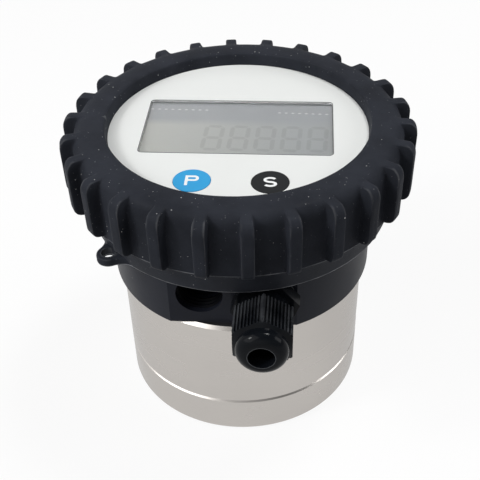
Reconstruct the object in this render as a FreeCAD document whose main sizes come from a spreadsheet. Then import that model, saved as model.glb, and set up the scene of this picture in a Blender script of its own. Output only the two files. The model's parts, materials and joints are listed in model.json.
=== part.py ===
import FreeCAD, Part
import math
import os

import Sketcher

# Oval gear flow meter. Millimetres, +Z up, origin at the centre of the base, front (cable entries) at -Y.

SIZES = {
    # stainless base
    "base_radius": 40.0,
    "cover_height": 14.0,
    "body_height": 32.7,
    "split_chamfer": 1.1,
    "rim_chamfer": 1.0,
    "foot_chamfer": 0.6,
    # ports, tapped from the left and right sides
    "port_radius": 5.9,
    "port_depth": 13.0,
    "port_rise": 8.5,
    "passage_radius": 4.0,
    # measuring chamber and oval gears
    "chamber_depth": 17.0,
    "roof_thickness": 5.7,
    "gear_ovality": 0.25,
    "gear_teeth": 26,
    "flank_angle": 25.0,
    "tooth_rise": 0.62,
    "tooth_fall": 0.85,
    "tooth_backlash": 0.36,
    "chamber_gap": 0.3,
    "rotor_end_gap": 0.15,
    "shaft_radius": 3.0,
    "shaft_seat": 4.0,
    "bush_wall": 1.6,
    "magnet_radius": 2.0,
    "magnet_height": 3.0,
    "magnet_land": 2.75,
    "running_gap": 0.05,
    "press_gap": 0.02,
    # seals and screws of the base
    "seal_section": 2.0,
    "seal_gap": 0.05,
    "cover_seal_inset": 6.5,
    "chamber_land": 1.78,
    "housing_seal_inset": 6.0,
    "recess_land": 3.5,
    "base_screw_radius": 2.0,
    "base_screw_head": 3.5,
    "base_screw_head_height": 4.0,
    "screw_clearance": 0.2,
    "cover_screw_inset": 5.0,
    "cover_screw_bite": 9.0,
    "housing_screw_inset": 5.0,
    "housing_screw_bite": 7.0,
    "thread_runout": 2.0,
    # register housing
    "housing_overhang": 2.0,
    "housing_wall": 3.5,
    "housing_height": 41.3,
    "floor_thickness": 4.0,
    "floor_opening": 10.0,
    "flange_reach": 2.5,
    "flange_rise": 22.8,
    "flat_depth": 4.7,
    "entry_wall": 8.0,
    "entry_wall_rise": 20.0,
    "entry_radius": 7.1,
    "entry_spacing": 19.9,
    "entry_rise": 11.3,
    # cable gland, measured outwards from the housing's front flat
    "washer_thickness": 1.0,
    "gland_hex": 18.0,
    "gland_hex_height": 4.4,
    "gland_hex_turn": 10.0,
    "gland_spigot": 7.5,
    "gland_neck_radius": 7.3,
    "gland_neck": 8.6,
    "gland_bore": 4.6,
    "gland_seat_radius": 5.7,
    "gland_seat": 5.0,
    "gland_hole": 3.9,
    "nut_start": 9.2,
    "nut_length": 15.8,
    "nut_hex": 17.0,
    "nut_dome_radius": 7.6,
    "nut_dome_rise": 4.3,
    "nut_dome_round": 3.2,
    "nut_cone": 1.5,
    "nut_socket": 6.3,
    "nut_throat": 3.0,
    "flute_count": 8,
    "flute_pitch": 1.12,
    "flute_width": 0.72,
    "flute_depth": 0.45,
    # bezel, facia and display
    "gasket_thickness": 0.6,
    "bezel_thickness": 4.1,
    "bezel_spigot": 3.4,
    "bezel_spigot_wall": 1.5,
    "bezel_spigot_gap": 0.2,
    "bezel_screw_inset": 2.5,
    "bezel_screw_radius": 1.25,
    "bezel_screw_head": 2.0,
    "bezel_screw_head_height": 1.4,
    "bezel_screw_bite": 9.0,
    "label_inset": 4.9,
    "label_thickness": 0.5,
    "window_side": 10.95,
    "window_width": 29.8,
    "window_shift": 0.6,
    "window_round": 1.2,
    "window_sink": 0.15,
    "window_ledge": 0.8,
    "window_flange": 0.7,
    "lcd_margin": 1.8,
    "lcd_thickness": 2.8,
    "lcd_frame_wall": 2.0,
    "stack_gap": 0.05,
    # keys
    "key_radius": 5.35,
    "key_spacing": 22.06,
    "key_inset": 11.3,
    "key_gap": 0.12,
    "key_proud": 0.1,
    "key_flange": 0.5,
    "key_flange_height": 1.1,
    "key_stem_radius": 2.0,
    "key_travel": 0.4,
    "switch_side": 6.0,
    "switch_height": 3.5,
    "plunger_radius": 1.75,
    "plunger_height": 1.0,
    # register electronics
    "board_gap": 2.0,
    "board_thickness": 1.6,
    "board_drop": 7.0,
    "board_screw_inset": 3.5,
    "post_radius": 3.0,
    "cell_radius": 7.25,
    "cell_length": 49.0,
    "cell_nub_radius": 2.7,
    "cell_nub": 1.2,
    "holder_gap": 1.7,
    "cell_drop": 9.0,
    "holder_wall": 1.3,
    "holder_depth": 11.0,
    "terminal_length": 20.4,
    "terminal_width": 8.0,
    "terminal_height": 10.0,
    "terminal_setback": 18.0,
    "terminal_ways": 4,
    "terminal_hole": 1.5,
    "terminal_hole_depth": 5.0,
    "sensor_board_gap": 2.0,
    "sensor_length": 4.0,
    "sensor_width": 3.0,
    "sensor_height": 1.5,
    "sensor_screw_inset": 6.5,
    "small_screw_radius": 1.5,
    "small_screw_head": 2.7,
    "small_screw_head_height": 2.0,
    "small_screw_bite": 4.0,
    "lead_radius": 1.5,
    "lead_sway": 5.0,
    "lead_setback": 3.0,
    # rubber boot
    "boot_fit": 0.1,
    "boot_wall": 5.4,
    "boot_hook": 1.5,
    "boot_hook_gap": 0.3,
    "boot_lip_gap": 0.15,
    "boot_lip_slope": 1.05,
    "boot_rise": 3.9,
    "band_height": 8.7,
    "band_step": 0.4,
    "band_taper": 2.6,
    "band_round": 0.6,
    "crest_round": 4.0,
    "lip_round": 1.2,
    "rib_count": 26,
    "rib_width": 3.7,
    "rib_reach": 4.0,
    "rib_taper": 0.3,
    "rib_round": 3.0,
    "rib_fall": 1.3,
    "rib_foot": 0.4,
    "eye_turn": 43.0,
    "eye_reach": 2.8,
    "eye_radius": 3.6,
    "eye_hole": 2.1,
    "eye_thickness": 2.9,
    "eye_blend": 6.0,
    "eye_root": 1.9,
}

UP = FreeCAD.Vector(0, 0, 1)
TINY = 1e-9


class Size:
    """A length with its value and the sheet formula that gives it."""

    def __init__(self, text, value):
        self.text = text
        self.value = float(value)

    def __float__(self):
        return self.value

    def __add__(self, other):
        other = sized(other)
        return Size(f"({self.text} + {other.text})", self.value + other.value)

    def __sub__(self, other):
        other = sized(other)
        return Size(f"({self.text} - {other.text})", self.value - other.value)

    def __mul__(self, other):
        other = sized(other)
        return Size(f"({self.text} * {other.text})", self.value * other.value)

    def __truediv__(self, other):
        other = sized(other)
        return Size(f"({self.text} / {other.text})", self.value / other.value)

    def __neg__(self):
        return Size(f"(0 - {self.text})", -self.value)

    __radd__ = __add__
    __rmul__ = __mul__


def sized(number):
    return number if isinstance(number, Size) else Size(f"{number:.10f}", number)


def turned(length, degrees):
    """The x and y of a point at a radius and an angle."""
    angle = math.radians(degrees)
    return length * math.cos(angle), length * math.sin(angle)


def circle_of(radius, count, first=0.0):
    """Evenly spaced points on a bolt circle."""
    return [turned(radius, first + 360.0 * i / count) for i in range(count)]


doc = FreeCAD.newDocument("oval_gear_flow_meter")
sheet = doc.addObject("Spreadsheet::Sheet", "sizes")
for row, (alias, number) in enumerate(SIZES.items(), start=1):
    sheet.set(f"A{row}", alias)
    sheet.set(f"B{row}", str(number))
    sheet.setAlias(f"B{row}", alias)
doc.recompute()


class Sheet:
    """The sheet's cells by name."""

    def __getattr__(self, alias):
        return Size(f"sizes.{alias}", sheet.get(alias))


dim = Sheet()

# Heights that several pieces share
cover_top = dim.cover_height
chamber_roof = cover_top + dim.chamber_depth
recess_floor = chamber_roof + dim.roof_thickness
body_top = cover_top + dim.body_height
floor_top = body_top + dim.floor_thickness
flange_foot = body_top + dim.flange_rise
housing_top = body_top + dim.housing_height
bezel_seat = housing_top + dim.gasket_thickness
bezel_top = bezel_seat + dim.bezel_thickness
facia_top = bezel_top + dim.label_thickness
window_seat = bezel_top - dim.window_ledge
board_top = bezel_seat - dim.board_drop
board_foot = board_top - dim.board_thickness
boot_foot = flange_foot - dim.boot_fit - dim.boot_hook
boot_crest = facia_top + dim.boot_rise

# Radii that follow from the base, each set in or out from its neighbour
housing_radius = dim.base_radius + dim.housing_overhang
housing_bore = housing_radius - dim.housing_wall
flange_radius = housing_radius + dim.flange_reach
flat_distance = housing_radius - dim.flat_depth
label_radius = flange_radius - dim.label_inset
board_radius = housing_bore - dim.board_gap
cover_screw_circle = dim.base_radius - dim.cover_screw_inset
cover_seal_radius = cover_screw_circle - dim.cover_seal_inset
housing_screw_circle = housing_bore - dim.housing_screw_inset
housing_seal_radius = housing_screw_circle - dim.housing_seal_inset
recess_radius = housing_seal_radius - dim.recess_land
boot_bore = flange_radius + dim.boot_fit
boot_outside = boot_bore + dim.boot_wall
band_radius = boot_outside - dim.band_step - dim.band_taper
band_top = boot_foot + dim.band_height

# The chamber fills the room inside the cover's seal, and the oval gears fill the chamber
groove_half = dim.seal_section / 2 + dim.seal_gap
chamber_reach = cover_seal_radius - groove_half - dim.chamber_land
gear_centres = (chamber_reach - dim.tooth_rise - dim.chamber_gap) / (1 + dim.gear_ovality / 2)
gear_long_radius = gear_centres * (1 + dim.gear_ovality) / 2
chamber_radius = chamber_reach - gear_centres / 2
magnet_offset = gear_long_radius - dim.magnet_radius - dim.magnet_land
shaft_hole = dim.shaft_radius + dim.press_gap
bush_radius = dim.shaft_radius + dim.running_gap + dim.bush_wall
rotor_height = dim.chamber_depth - 2 * dim.rotor_end_gap
rotor_foot = cover_top + dim.rotor_end_gap
drive_y = -(gear_centres / 2)
idler_y = gear_centres / 2

# Places that several pieces share
entry_x = dim.entry_spacing / 2
entry_z = body_top + dim.entry_rise
key_x = dim.key_spacing / 2
key_y = dim.key_inset - label_radius
window_length = 2 * (label_radius - dim.window_side)
lcd_length = window_length + 2 * dim.lcd_margin
lcd_width = dim.window_width + 2 * dim.lcd_margin
COVER_SCREWS = circle_of(cover_screw_circle, 6, 30.0)
HOUSING_SCREWS = circle_of(housing_screw_circle, 4, 45.0)
BEZEL_SCREWS = circle_of(flange_radius - dim.bezel_screw_inset, 4, 45.0)
BOARD_SCREWS = circle_of(board_radius - dim.board_screw_inset, 4, 45.0)
SENSOR_SCREWS = circle_of(recess_radius - dim.sensor_screw_inset, 2)
SHAFTS = [(sized(0), drive_y), (sized(0), idler_y)]
ENTRIES = [(-entry_x, entry_z), (entry_x, entry_z)]
KEYS = [(-key_x, key_y), (key_x, key_y)]
WINDOW = (sized(0), dim.window_shift)


def bind(thing, name, size):
    """Tie one property of an object to the sheet."""
    thing.setExpression(name, sized(size).text)


def place(thing, x=0, y=0, z=0, axis=UP, degrees=0.0):
    """Turn an object and tie its place to the sheet."""
    thing.Placement = FreeCAD.Placement(FreeCAD.Vector(), FreeCAD.Rotation(axis, degrees))
    for name, size in (("x", x), ("y", y), ("z", z)):
        bind(thing, f"Placement.Base.{name}", size)
    return thing


# Sketches and features of a body

def new_body(label):
    body = doc.addObject("PartDesign::Body", label)
    body.Label = label
    return body


def origin(body, role):
    return next(feature for feature in body.Origin.OriginFeatures if feature.Role == role)


def new_sketch(body, name, role, offset=0, degrees=0.0):
    """An empty sketch on one of the body's origin planes, moved along the plane's normal."""
    sketch = body.newObject("Sketcher::SketchObject", f"{body.Name}_{name}")
    sketch.AttachmentSupport = [(origin(body, role), "")]
    sketch.MapMode = "FlatFace"
    sketch.AttachmentOffset = FreeCAD.Placement(FreeCAD.Vector(), FreeCAD.Rotation(UP, degrees))
    bind(sketch, "AttachmentOffset.Base.z", offset)
    return sketch


def fix_value(sketch, kind, geometry, position, size):
    """Add a coordinate that follows the sheet."""
    index = sketch.addConstraint(Sketcher.Constraint(kind, geometry, position, size.value))
    sketch.setExpression(f"Constraints[{index}]", size.text)


def fix_radius(sketch, geometry, size):
    index = sketch.addConstraint(Sketcher.Constraint("Radius", geometry, size.value))
    sketch.setExpression(f"Constraints[{index}]", size.text)


def fix_point(sketch, geometry, position, x, y):
    """Hold a point at x, y of its sketch."""
    for kind, across, size in (("DistanceX", -2, sized(x)), ("DistanceY", -1, sized(y))):
        if abs(size.value) < TINY:
            sketch.addConstraint(Sketcher.Constraint("PointOnObject", geometry, position, across))
        else:
            fix_value(sketch, kind, geometry, position, size)


def add_circle(sketch, x, y, radius):
    centre = FreeCAD.Vector(float(x), float(y), 0)
    circle = sketch.addGeometry(Part.Circle(centre, UP, radius.value))
    fix_point(sketch, circle, 3, x, y)
    fix_radius(sketch, circle, radius)
    return circle


def add_outline(sketch, corners):
    """A closed outline of straight sides. A corner is (x, y), or (x, y, radius) where it is rounded."""
    spots = [FreeCAD.Vector(float(c[0]), float(c[1]), 0) for c in corners]
    count = len(corners)
    leave, enter, arcs = list(spots), list(spots), [None] * count
    for i, corner in enumerate(corners):
        if len(corner) == 3:
            back = (spots[i - 1] - spots[i]).normalize()
            ahead = (spots[(i + 1) % count] - spots[i]).normalize()
            half = back.getAngle(ahead) / 2
            radius = corner[2].value
            enter[i] = spots[i] + back * (radius / math.tan(half))
            leave[i] = spots[i] + ahead * (radius / math.tan(half))
            centre = spots[i] + (back + ahead).normalize() * (radius / math.sin(half))
            middle = centre + (spots[i] - centre).normalize() * radius
            arcs[i] = Part.Arc(enter[i], middle, leave[i])
    sides = [
        sketch.addGeometry(Part.LineSegment(leave[i], enter[(i + 1) % count]))
        for i in range(count)
    ]
    for i, corner in enumerate(corners):
        before, after = sides[i - 1], sides[i]
        if arcs[i] is None:
            sketch.addConstraint(Sketcher.Constraint("Coincident", before, 2, after, 1))
            fix_point(sketch, after, 1, corner[0], corner[1])
            continue
        arc = sketch.addGeometry(arcs[i])
        starts_first = sketch.Geometry[arc].StartPoint.distanceToPoint(enter[i]) < 1e-6
        first, last = (1, 2) if starts_first else (2, 1)
        sketch.addConstraint(Sketcher.Constraint("Tangent", before, 2, arc, first))
        sketch.addConstraint(Sketcher.Constraint("Tangent", arc, last, after, 1))
        fix_radius(sketch, arc, corner[2])
        mark = sketch.addGeometry(Part.Point(spots[i]), True)
        sketch.addConstraint(Sketcher.Constraint("PointOnObject", mark, 1, before))
        sketch.addConstraint(Sketcher.Constraint("PointOnObject", mark, 1, after))
        fix_point(sketch, mark, 1, corner[0], corner[1])


def box_corners(x, y, length, width, radius=None):
    """Corners of a rectangle about x, y, rounded if a radius is given."""
    ends = [(x - length / 2, y - width / 2), (x + length / 2, y - width / 2),
            (x + length / 2, y + width / 2), (x - length / 2, y + width / 2)]
    return ends if radius is None else [(*end, radius) for end in ends]


def hex_corners(across, first=90.0):
    return circle_of(across / math.sqrt(3.0), 6, first)


def add_feature(body, kind, name, sketch, length=None, back=False):
    feature = body.newObject(f"PartDesign::{kind}", f"{body.Name}_{name}")
    feature.Profile = sketch
    if length is not None:
        bind(feature, "Length", length)
        feature.Reversed = back
    doc.recompute()
    return feature


def pad(body, name, sketch, length, back=False):
    return add_feature(body, "Pad", name, sketch, length, back)


def pocket(body, name, sketch, length, back=False):
    """Cut a sketch into the body, and make sure that it took material away."""
    before = body.Shape.Volume
    feature = add_feature(body, "Pocket", name, sketch, length, back)
    if body.Shape.Volume > before - TINY:
        raise RuntimeError(f"{feature.Name} cuts nothing")
    return feature


def revolve(body, name, corners, kind="Revolution"):
    """Turn an outline of (radius, height) corners about the body's Z axis."""
    sketch = new_sketch(body, f"{name}_profile", "XZ_Plane")
    add_outline(sketch, corners)
    feature = body.newObject(f"PartDesign::{kind}", f"{body.Name}_{name}")
    feature.Profile = sketch
    feature.ReferenceAxis = (sketch, ["V_Axis"])
    feature.Angle = 360.0
    doc.recompute()
    return feature


def round_holes(body, name, centres, radius, foot, depth, role="XY_Plane", back=True):
    """Straight round holes, from foot along the plane's normal."""
    sketch = new_sketch(body, f"{name}_places", role, foot)
    for x, y in centres:
        add_circle(sketch, x, y, radius)
    return pocket(body, name, sketch, depth, back)


def repeat_round(body, name, features, count):
    """Repeat features about the body's Z axis."""
    pattern = body.newObject("PartDesign::PolarPattern", f"{body.Name}_{name}")
    pattern.Originals = features
    pattern.Axis = (origin(body, "Z_Axis"), [""])
    pattern.Angle = 360.0
    bind(pattern, "Occurrences", count)
    body.Tip = pattern
    doc.recompute()
    return pattern


# Primitives and booleans

def cylinder(name, radius, height, x=0, y=0, z=0, axis=UP, degrees=0.0):
    solid = doc.addObject("Part::Cylinder", name)
    bind(solid, "Radius", radius)
    bind(solid, "Height", height)
    return place(solid, x, y, z, axis, degrees)


def box(name, length, width, height, x=0, y=0, z=0):
    """A box centred on x and y that stands on z."""
    solid = doc.addObject("Part::Box", name)
    bind(solid, "Length", length)
    bind(solid, "Width", width)
    bind(solid, "Height", height)
    return place(solid, sized(x) - length / 2, sized(y) - width / 2, z)


def torus(label, ring_radius, section_radius, z):
    solid = doc.addObject("Part::Torus", label)
    bind(solid, "Radius1", ring_radius)
    bind(solid, "Radius2", section_radius)
    return place(solid, z=z)


def fuse(label, solids):
    result = doc.addObject("Part::MultiFuse", label)
    result.Shapes = solids
    return result


def cut(label, base, tools):
    tool = tools[0] if len(tools) == 1 else fuse(f"{label}_cuts", tools)
    result = doc.addObject("Part::Cut", label)
    result.Base = base
    result.Tool = tool
    return result


def group(label, solids):
    result = doc.addObject("Part::Compound", label)
    result.Links = solids
    return result


def screw(name, x, y, seat, radius, shank, head_radius, head_height, heads_up=True):
    """A cap screw with a hexagon socket. seat is the height of the face under its head."""
    flip = 0.0 if heads_up else 180.0
    side = FreeCAD.Vector(1, 0, 0)
    way = 1 if heads_up else -1
    head = cylinder(f"{name}_head", head_radius, head_height, x, y, seat, side, flip)
    stem = cylinder(f"{name}_stem", radius, shank, x, y, seat, side, 180.0 - flip)
    socket = doc.addObject("Part::Prism", f"{name}_socket")
    socket.Polygon = 6
    bind(socket, "Circumradius", radius * 0.85)
    bind(socket, "Height", head_height / 2)
    place(socket, x, y, seat + way * head_height / 2, side, flip)
    return cut(f"{name}_whole", fuse(f"{name}_blank", [head, stem]), [socket])


def screws(label, places, *args, **options):
    return group(label, [screw(f"{label}_{i}", x, y, *args, **options) for i, (x, y) in enumerate(places)])


# Oval gears: the pitch curve is r = p / (1 - e cos 2a), and two of them roll on each other

def pitch_radius(angle):
    ovality = dim.gear_ovality.value
    parameter = gear_centres.value * (1 - ovality ** 2) / 2
    return parameter / (1 - ovality * math.cos(2 * angle))


def pitch_slopes(angle, step=1e-4):
    """First and second change of the pitch radius with the angle."""
    low, mid, high = (pitch_radius(angle + k * step) for k in (-1, 0, 1))
    return (high - low) / (2 * step), (high - 2 * mid + low) / step ** 2


def tooth_angles(count, steps=7200):
    """Angles that divide the pitch curve into equal arc lengths, from the long axis."""
    turn = 2 * math.pi / steps
    lengths = [0.0]
    for i in range(steps):
        angle = (i + 0.5) * turn
        lengths.append(lengths[-1] + math.hypot(pitch_radius(angle), pitch_slopes(angle)[0]) * turn)
    angles, i = [], 0
    for tooth in range(count):
        target = lengths[-1] * tooth / count
        while lengths[i + 1] <= target:
            i += 1
        angles.append((i + (target - lengths[i]) / (lengths[i + 1] - lengths[i])) * turn)
    return angles, lengths[-1] / count


def involute(cosine):
    angle = math.acos(min(1.0, cosine))
    return math.tan(angle) - angle


def tooth_flank(angle, pitch, side, rises):
    """Points of one flank: an involute on the circle that fits the pitch curve at the tooth."""
    radius = pitch_radius(angle)
    first, second = pitch_slopes(angle)
    curve = (radius ** 2 + first ** 2) ** 1.5 / (radius ** 2 + 2 * first ** 2 - radius * second)
    heading = angle - math.atan2(first, radius)
    base = math.cos(math.radians(dim.flank_angle.value))
    half = (pitch / 2 - dim.tooth_backlash.value / 2) / (2 * curve) + involute(base)
    centre_x = radius * math.cos(angle) - curve * math.cos(heading)
    centre_y = radius * math.sin(angle) - curve * math.sin(heading)
    points = []
    for rise in rises:
        reach = curve + rise
        way = heading + side * (half - involute(base * curve / reach))
        points.append(FreeCAD.Vector(centre_x + reach * math.cos(way), centre_y + reach * math.sin(way), 0))
    return points


def gear_face():
    """The toothed outline with its long axis on X, as a face."""
    angles, pitch = tooth_angles(int(dim.gear_teeth.value))
    rises = (-dim.tooth_fall.value, 0.0, dim.tooth_rise.value)
    edges, last = [], None
    for angle in angles:
        up = tooth_flank(angle, pitch, -1, rises)
        down = tooth_flank(angle, pitch, 1, rises)
        if last is not None:
            edges.append(Part.LineSegment(last, up[0]).toShape())
        edges.append(Part.Arc(*up).toShape())
        edges.append(Part.LineSegment(up[2], down[2]).toShape())
        edges.append(Part.Arc(*reversed(down)).toShape())
        last = down[0]
    first = tooth_flank(angles[0], pitch, -1, rises)[0]
    edges.append(Part.LineSegment(last, first).toShape())
    return Part.Face(Part.Wire(edges))


def rotor(label, y, long_axis_degrees, pockets=()):
    """One oval gear with its bush bore, and blind pockets on its long axis."""
    solid = gear_face().extrude(UP * rotor_height.value)
    bore = bush_radius.value + dim.press_gap.value
    solid = solid.cut(Part.makeCylinder(bore, rotor_height.value))
    for offset in pockets:
        depth = dim.magnet_height.value + dim.press_gap.value
        foot = FreeCAD.Vector(offset.value, 0, rotor_height.value - depth)
        solid = solid.cut(Part.makeCylinder(dim.magnet_radius.value + dim.press_gap.value, depth, foot))
    gear = doc.addObject("Part::Feature", label)
    gear.Shape = solid
    spot = FreeCAD.Vector(0, y.value, rotor_foot.value)
    gear.Placement = FreeCAD.Placement(spot, FreeCAD.Rotation(UP, long_axis_degrees))
    return gear


def rotor_bush(label, y):
    height = rotor_height
    sleeve = cylinder(f"{label}_sleeve", bush_radius, height, y=y, z=rotor_foot)
    hole = cylinder(f"{label}_hole", dim.shaft_radius + dim.running_gap, height, y=y, z=rotor_foot)
    return cut(label, sleeve, [hole])


def rotor_shaft(label, y):
    foot = cover_top - dim.shaft_seat
    return cylinder(label, dim.shaft_radius, dim.chamber_depth + 2 * dim.shaft_seat, y=y, z=foot)


def rotor_magnets():
    foot = rotor_foot + rotor_height - dim.magnet_height
    places = [drive_y - magnet_offset, drive_y + magnet_offset]
    return group("rotor_magnets", [
        cylinder(f"rotor_magnet_{i}", dim.magnet_radius, dim.magnet_height, y=y, z=foot)
        for i, y in enumerate(places)
    ])


# Stainless base

def seal_groove(ring_radius, face, way):
    """Corners of a square groove for a round seal, cut from a face downwards (-1) or upwards (1)."""
    end = face + way * (dim.seal_section + dim.seal_gap)
    inside, outside = ring_radius - groove_half, ring_radius + groove_half
    return [(inside, face), (outside, face), (outside, end), (inside, end)]


def bottom_cover():
    body = new_body("bottom_cover")
    edge = dim.base_radius
    revolve(body, "blank", [
        (0, 0), (edge - dim.foot_chamfer, 0), (edge, dim.foot_chamfer),
        (edge, cover_top - dim.split_chamfer), (edge - dim.split_chamfer, cover_top), (0, cover_top),
    ])
    revolve(body, "seal_groove", seal_groove(cover_seal_radius, cover_top, -1), "Groove")
    seat = dim.shaft_seat + dim.press_gap
    round_holes(body, "shaft_seats", SHAFTS, shaft_hole, cover_top, seat, back=False)
    clearance = dim.base_screw_radius + dim.screw_clearance
    head = dim.base_screw_head + dim.screw_clearance
    round_holes(body, "screw_holes", COVER_SCREWS, clearance, cover_top, cover_top, back=False)
    counterbore = dim.base_screw_head_height + dim.foot_chamfer
    round_holes(body, "screw_heads", COVER_SCREWS, head, 0, counterbore)
    return body


def meter_body():
    body = new_body("meter_body")
    edge = dim.base_radius
    revolve(body, "blank", [
        (0, cover_top), (edge, cover_top), (edge, body_top - dim.rim_chamfer),
        (edge - dim.rim_chamfer, body_top), (0, body_top),
    ])
    for name, y in (("drive_chamber", drive_y), ("idler_chamber", idler_y)):
        round_holes(body, name, [(sized(0), y)], chamber_radius, cover_top, dim.chamber_depth)
    recess = body_top - recess_floor
    round_holes(body, "sensor_recess", [(0, 0)], recess_radius, body_top, recess, back=False)
    revolve(body, "seal_groove", seal_groove(housing_seal_radius, body_top, -1), "Groove")
    port_z = cover_top + dim.port_rise
    for name, face, back in (("inlet", -dim.base_radius, True), ("outlet", dim.base_radius, False)):
        for part, radius, depth in (("port", dim.port_radius, dim.port_depth),
                                    ("passage", dim.passage_radius, dim.base_radius)):
            round_holes(body, f"{name}_{part}", [(0, port_z)], radius, face, depth, "YZ_Plane", back)
    tapped = dim.base_screw_radius + dim.press_gap
    cover_depth = dim.cover_screw_bite + dim.thread_runout
    round_holes(body, "cover_threads", COVER_SCREWS, tapped, cover_top, cover_depth)
    housing_depth = dim.housing_screw_bite + dim.thread_runout
    round_holes(body, "housing_threads", HOUSING_SCREWS, tapped, body_top, housing_depth, back=False)
    seat = dim.shaft_seat + dim.press_gap
    round_holes(body, "shaft_seats", SHAFTS, shaft_hole, chamber_roof, seat)
    sensor_depth = dim.small_screw_bite + dim.press_gap
    sensor_hole = dim.small_screw_radius + dim.press_gap
    round_holes(body, "sensor_threads", SENSOR_SCREWS, sensor_hole, recess_floor, sensor_depth, back=False)
    return body


def base_seals_and_screws():
    section = dim.seal_section / 2
    middle = section + dim.seal_gap / 2
    seat = dim.base_screw_head_height + dim.foot_chamfer
    shank = cover_top - seat + dim.cover_screw_bite
    head = (dim.base_screw_head, dim.base_screw_head_height)
    return [
        torus("cover_o_ring", cover_seal_radius, section, cover_top - middle),
        torus("housing_o_ring", housing_seal_radius, section, body_top - middle),
        screws("cover_screws", COVER_SCREWS, seat, dim.base_screw_radius, shank, *head, heads_up=False),
        screws("housing_screws", HOUSING_SCREWS, floor_top, dim.base_screw_radius,
               dim.floor_thickness + dim.housing_screw_bite, *head),
    ]


# Pulse pick-up on the chamber roof

def sensor_parts():
    disc_radius = recess_radius - dim.sensor_board_gap
    hole = dim.small_screw_radius + dim.screw_clearance
    holes = [
        cylinder(f"sensor_board_hole_{i}", hole, dim.board_thickness, x, y, recess_floor)
        for i, (x, y) in enumerate(SENSOR_SCREWS)
    ]
    disc = cylinder("sensor_board_disc", disc_radius, dim.board_thickness, z=recess_floor)
    face = recess_floor + dim.board_thickness
    spots = [(sized(0), drive_y + magnet_offset), (magnet_offset, drive_y)]
    chips = [
        box(f"sensor_chip_{i}", dim.sensor_length, dim.sensor_width, dim.sensor_height, x, y, face)
        for i, (x, y) in enumerate(spots)
    ]
    shank = dim.board_thickness + dim.small_screw_bite
    head = (dim.small_screw_head, dim.small_screw_head_height)
    return [
        cut("sensor_board", disc, holes),
        group("sensor_chips", chips),
        screws("sensor_screws", SENSOR_SCREWS, face, dim.small_screw_radius, shank, *head),
    ]


def sensor_lead():
    """A round lead that sways across on its way up: straight runs joined by tangent arcs."""
    foot = (recess_floor + dim.board_thickness).value
    top = board_foot.value
    sway = dim.lead_sway.value
    y = -dim.lead_setback.value
    rise = top - foot
    route = [
        FreeCAD.Vector(-sway, y, foot), FreeCAD.Vector(-sway, y, foot + 0.3 * rise),
        FreeCAD.Vector(sway, y, foot + 0.7 * rise), FreeCAD.Vector(sway, y, top),
    ]
    edges, last = [], route[0]
    for i in (1, 2):
        back = route[i - 1] - route[i]
        ahead = route[i + 1] - route[i]
        reach = 0.45 * min(back.Length, ahead.Length)
        half = back.getAngle(ahead) / 2
        radius = reach * math.tan(half)
        enter = route[i] + back.normalize() * reach
        leave = route[i] + ahead.normalize() * reach
        inward = (back + ahead).normalize()
        middle = route[i] + inward * (radius / math.sin(half) - radius)
        edges.append(Part.LineSegment(last, enter).toShape())
        edges.append(Part.Arc(enter, middle, leave).toShape())
        last = leave
    edges.append(Part.LineSegment(last, route[3]).toShape())
    path = Part.Wire(edges)
    section = Part.Wire([Part.Circle(route[0], UP, dim.lead_radius.value).toShape()])
    lead = doc.addObject("Part::Feature", "sensor_lead")
    lead.Shape = path.makePipeShell([section], True, True)
    return lead


# Register housing and cable gland

def register_housing():
    body = new_body("register_housing")
    revolve(body, "shell", [
        (dim.floor_opening, body_top), (housing_radius, body_top), (housing_radius, flange_foot),
        (flange_radius, flange_foot), (flange_radius, housing_top), (housing_bore, housing_top),
        (housing_bore, floor_top), (dim.floor_opening, floor_top),
    ])
    inside = flat_distance - dim.entry_wall
    half = housing_bore + dim.housing_wall / 2
    sketch = new_sketch(body, "entry_wall_plan", "XY_Plane", floor_top - dim.floor_thickness / 2)
    add_chord(sketch, half, inside)
    pad(body, "entry_wall", sketch, dim.entry_wall_rise)
    sketch = new_sketch(body, "front_flat_plan", "XY_Plane", body_top)
    add_outline(sketch, box_corners(sized(0), -(flat_distance + housing_radius),
                                    2 * housing_radius, 2 * housing_radius))
    pocket(body, "front_flat", sketch, dim.flange_rise, back=True)
    flat = flat_distance
    round_holes(body, "entries", ENTRIES, dim.entry_radius, flat, dim.entry_wall, "XZ_Plane", False)
    clearance = dim.base_screw_radius + dim.screw_clearance
    round_holes(body, "floor_holes", HOUSING_SCREWS, clearance, floor_top, dim.floor_thickness, back=False)
    rim_hole = dim.bezel_screw_radius + dim.press_gap
    rim_depth = dim.bezel_screw_bite + dim.thread_runout
    round_holes(body, "rim_threads", BEZEL_SCREWS, rim_hole, housing_top, rim_depth, back=False)
    return body


def add_chord(sketch, radius, distance):
    """The part of a disc beyond a straight chord on its -Y side."""
    half = math.sqrt(radius.value ** 2 - distance.value ** 2)
    left = FreeCAD.Vector(-half, -distance.value, 0)
    right = FreeCAD.Vector(half, -distance.value, 0)
    bottom = FreeCAD.Vector(0, -radius.value, 0)
    arc = sketch.addGeometry(Part.Arc(left, bottom, right))
    line = sketch.addGeometry(Part.LineSegment(right, left))
    sketch.addConstraint(Sketcher.Constraint("Coincident", arc, 2, line, 1))
    sketch.addConstraint(Sketcher.Constraint("Coincident", line, 2, arc, 1))
    sketch.addConstraint(Sketcher.Constraint("Coincident", arc, 3, -1, 1))
    sketch.addConstraint(Sketcher.Constraint("Horizontal", line))
    fix_radius(sketch, arc, radius)
    fix_value(sketch, "DistanceY", line, 1, -distance)


def face_forward(thing):
    """Stand a gland piece, made about Z, on the housing's flat with its axis to the front."""
    return place(thing, entry_x, -flat_distance, entry_z, FreeCAD.Vector(1, 0, 0), 90.0)


def gland_washer():
    hole = cylinder("gland_washer_hole", dim.entry_radius, dim.washer_thickness)
    disc = cylinder("gland_washer_disc", dim.gland_hex / 2, dim.washer_thickness)
    return face_forward(cut("gland_washer", disc, [hole]))


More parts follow.
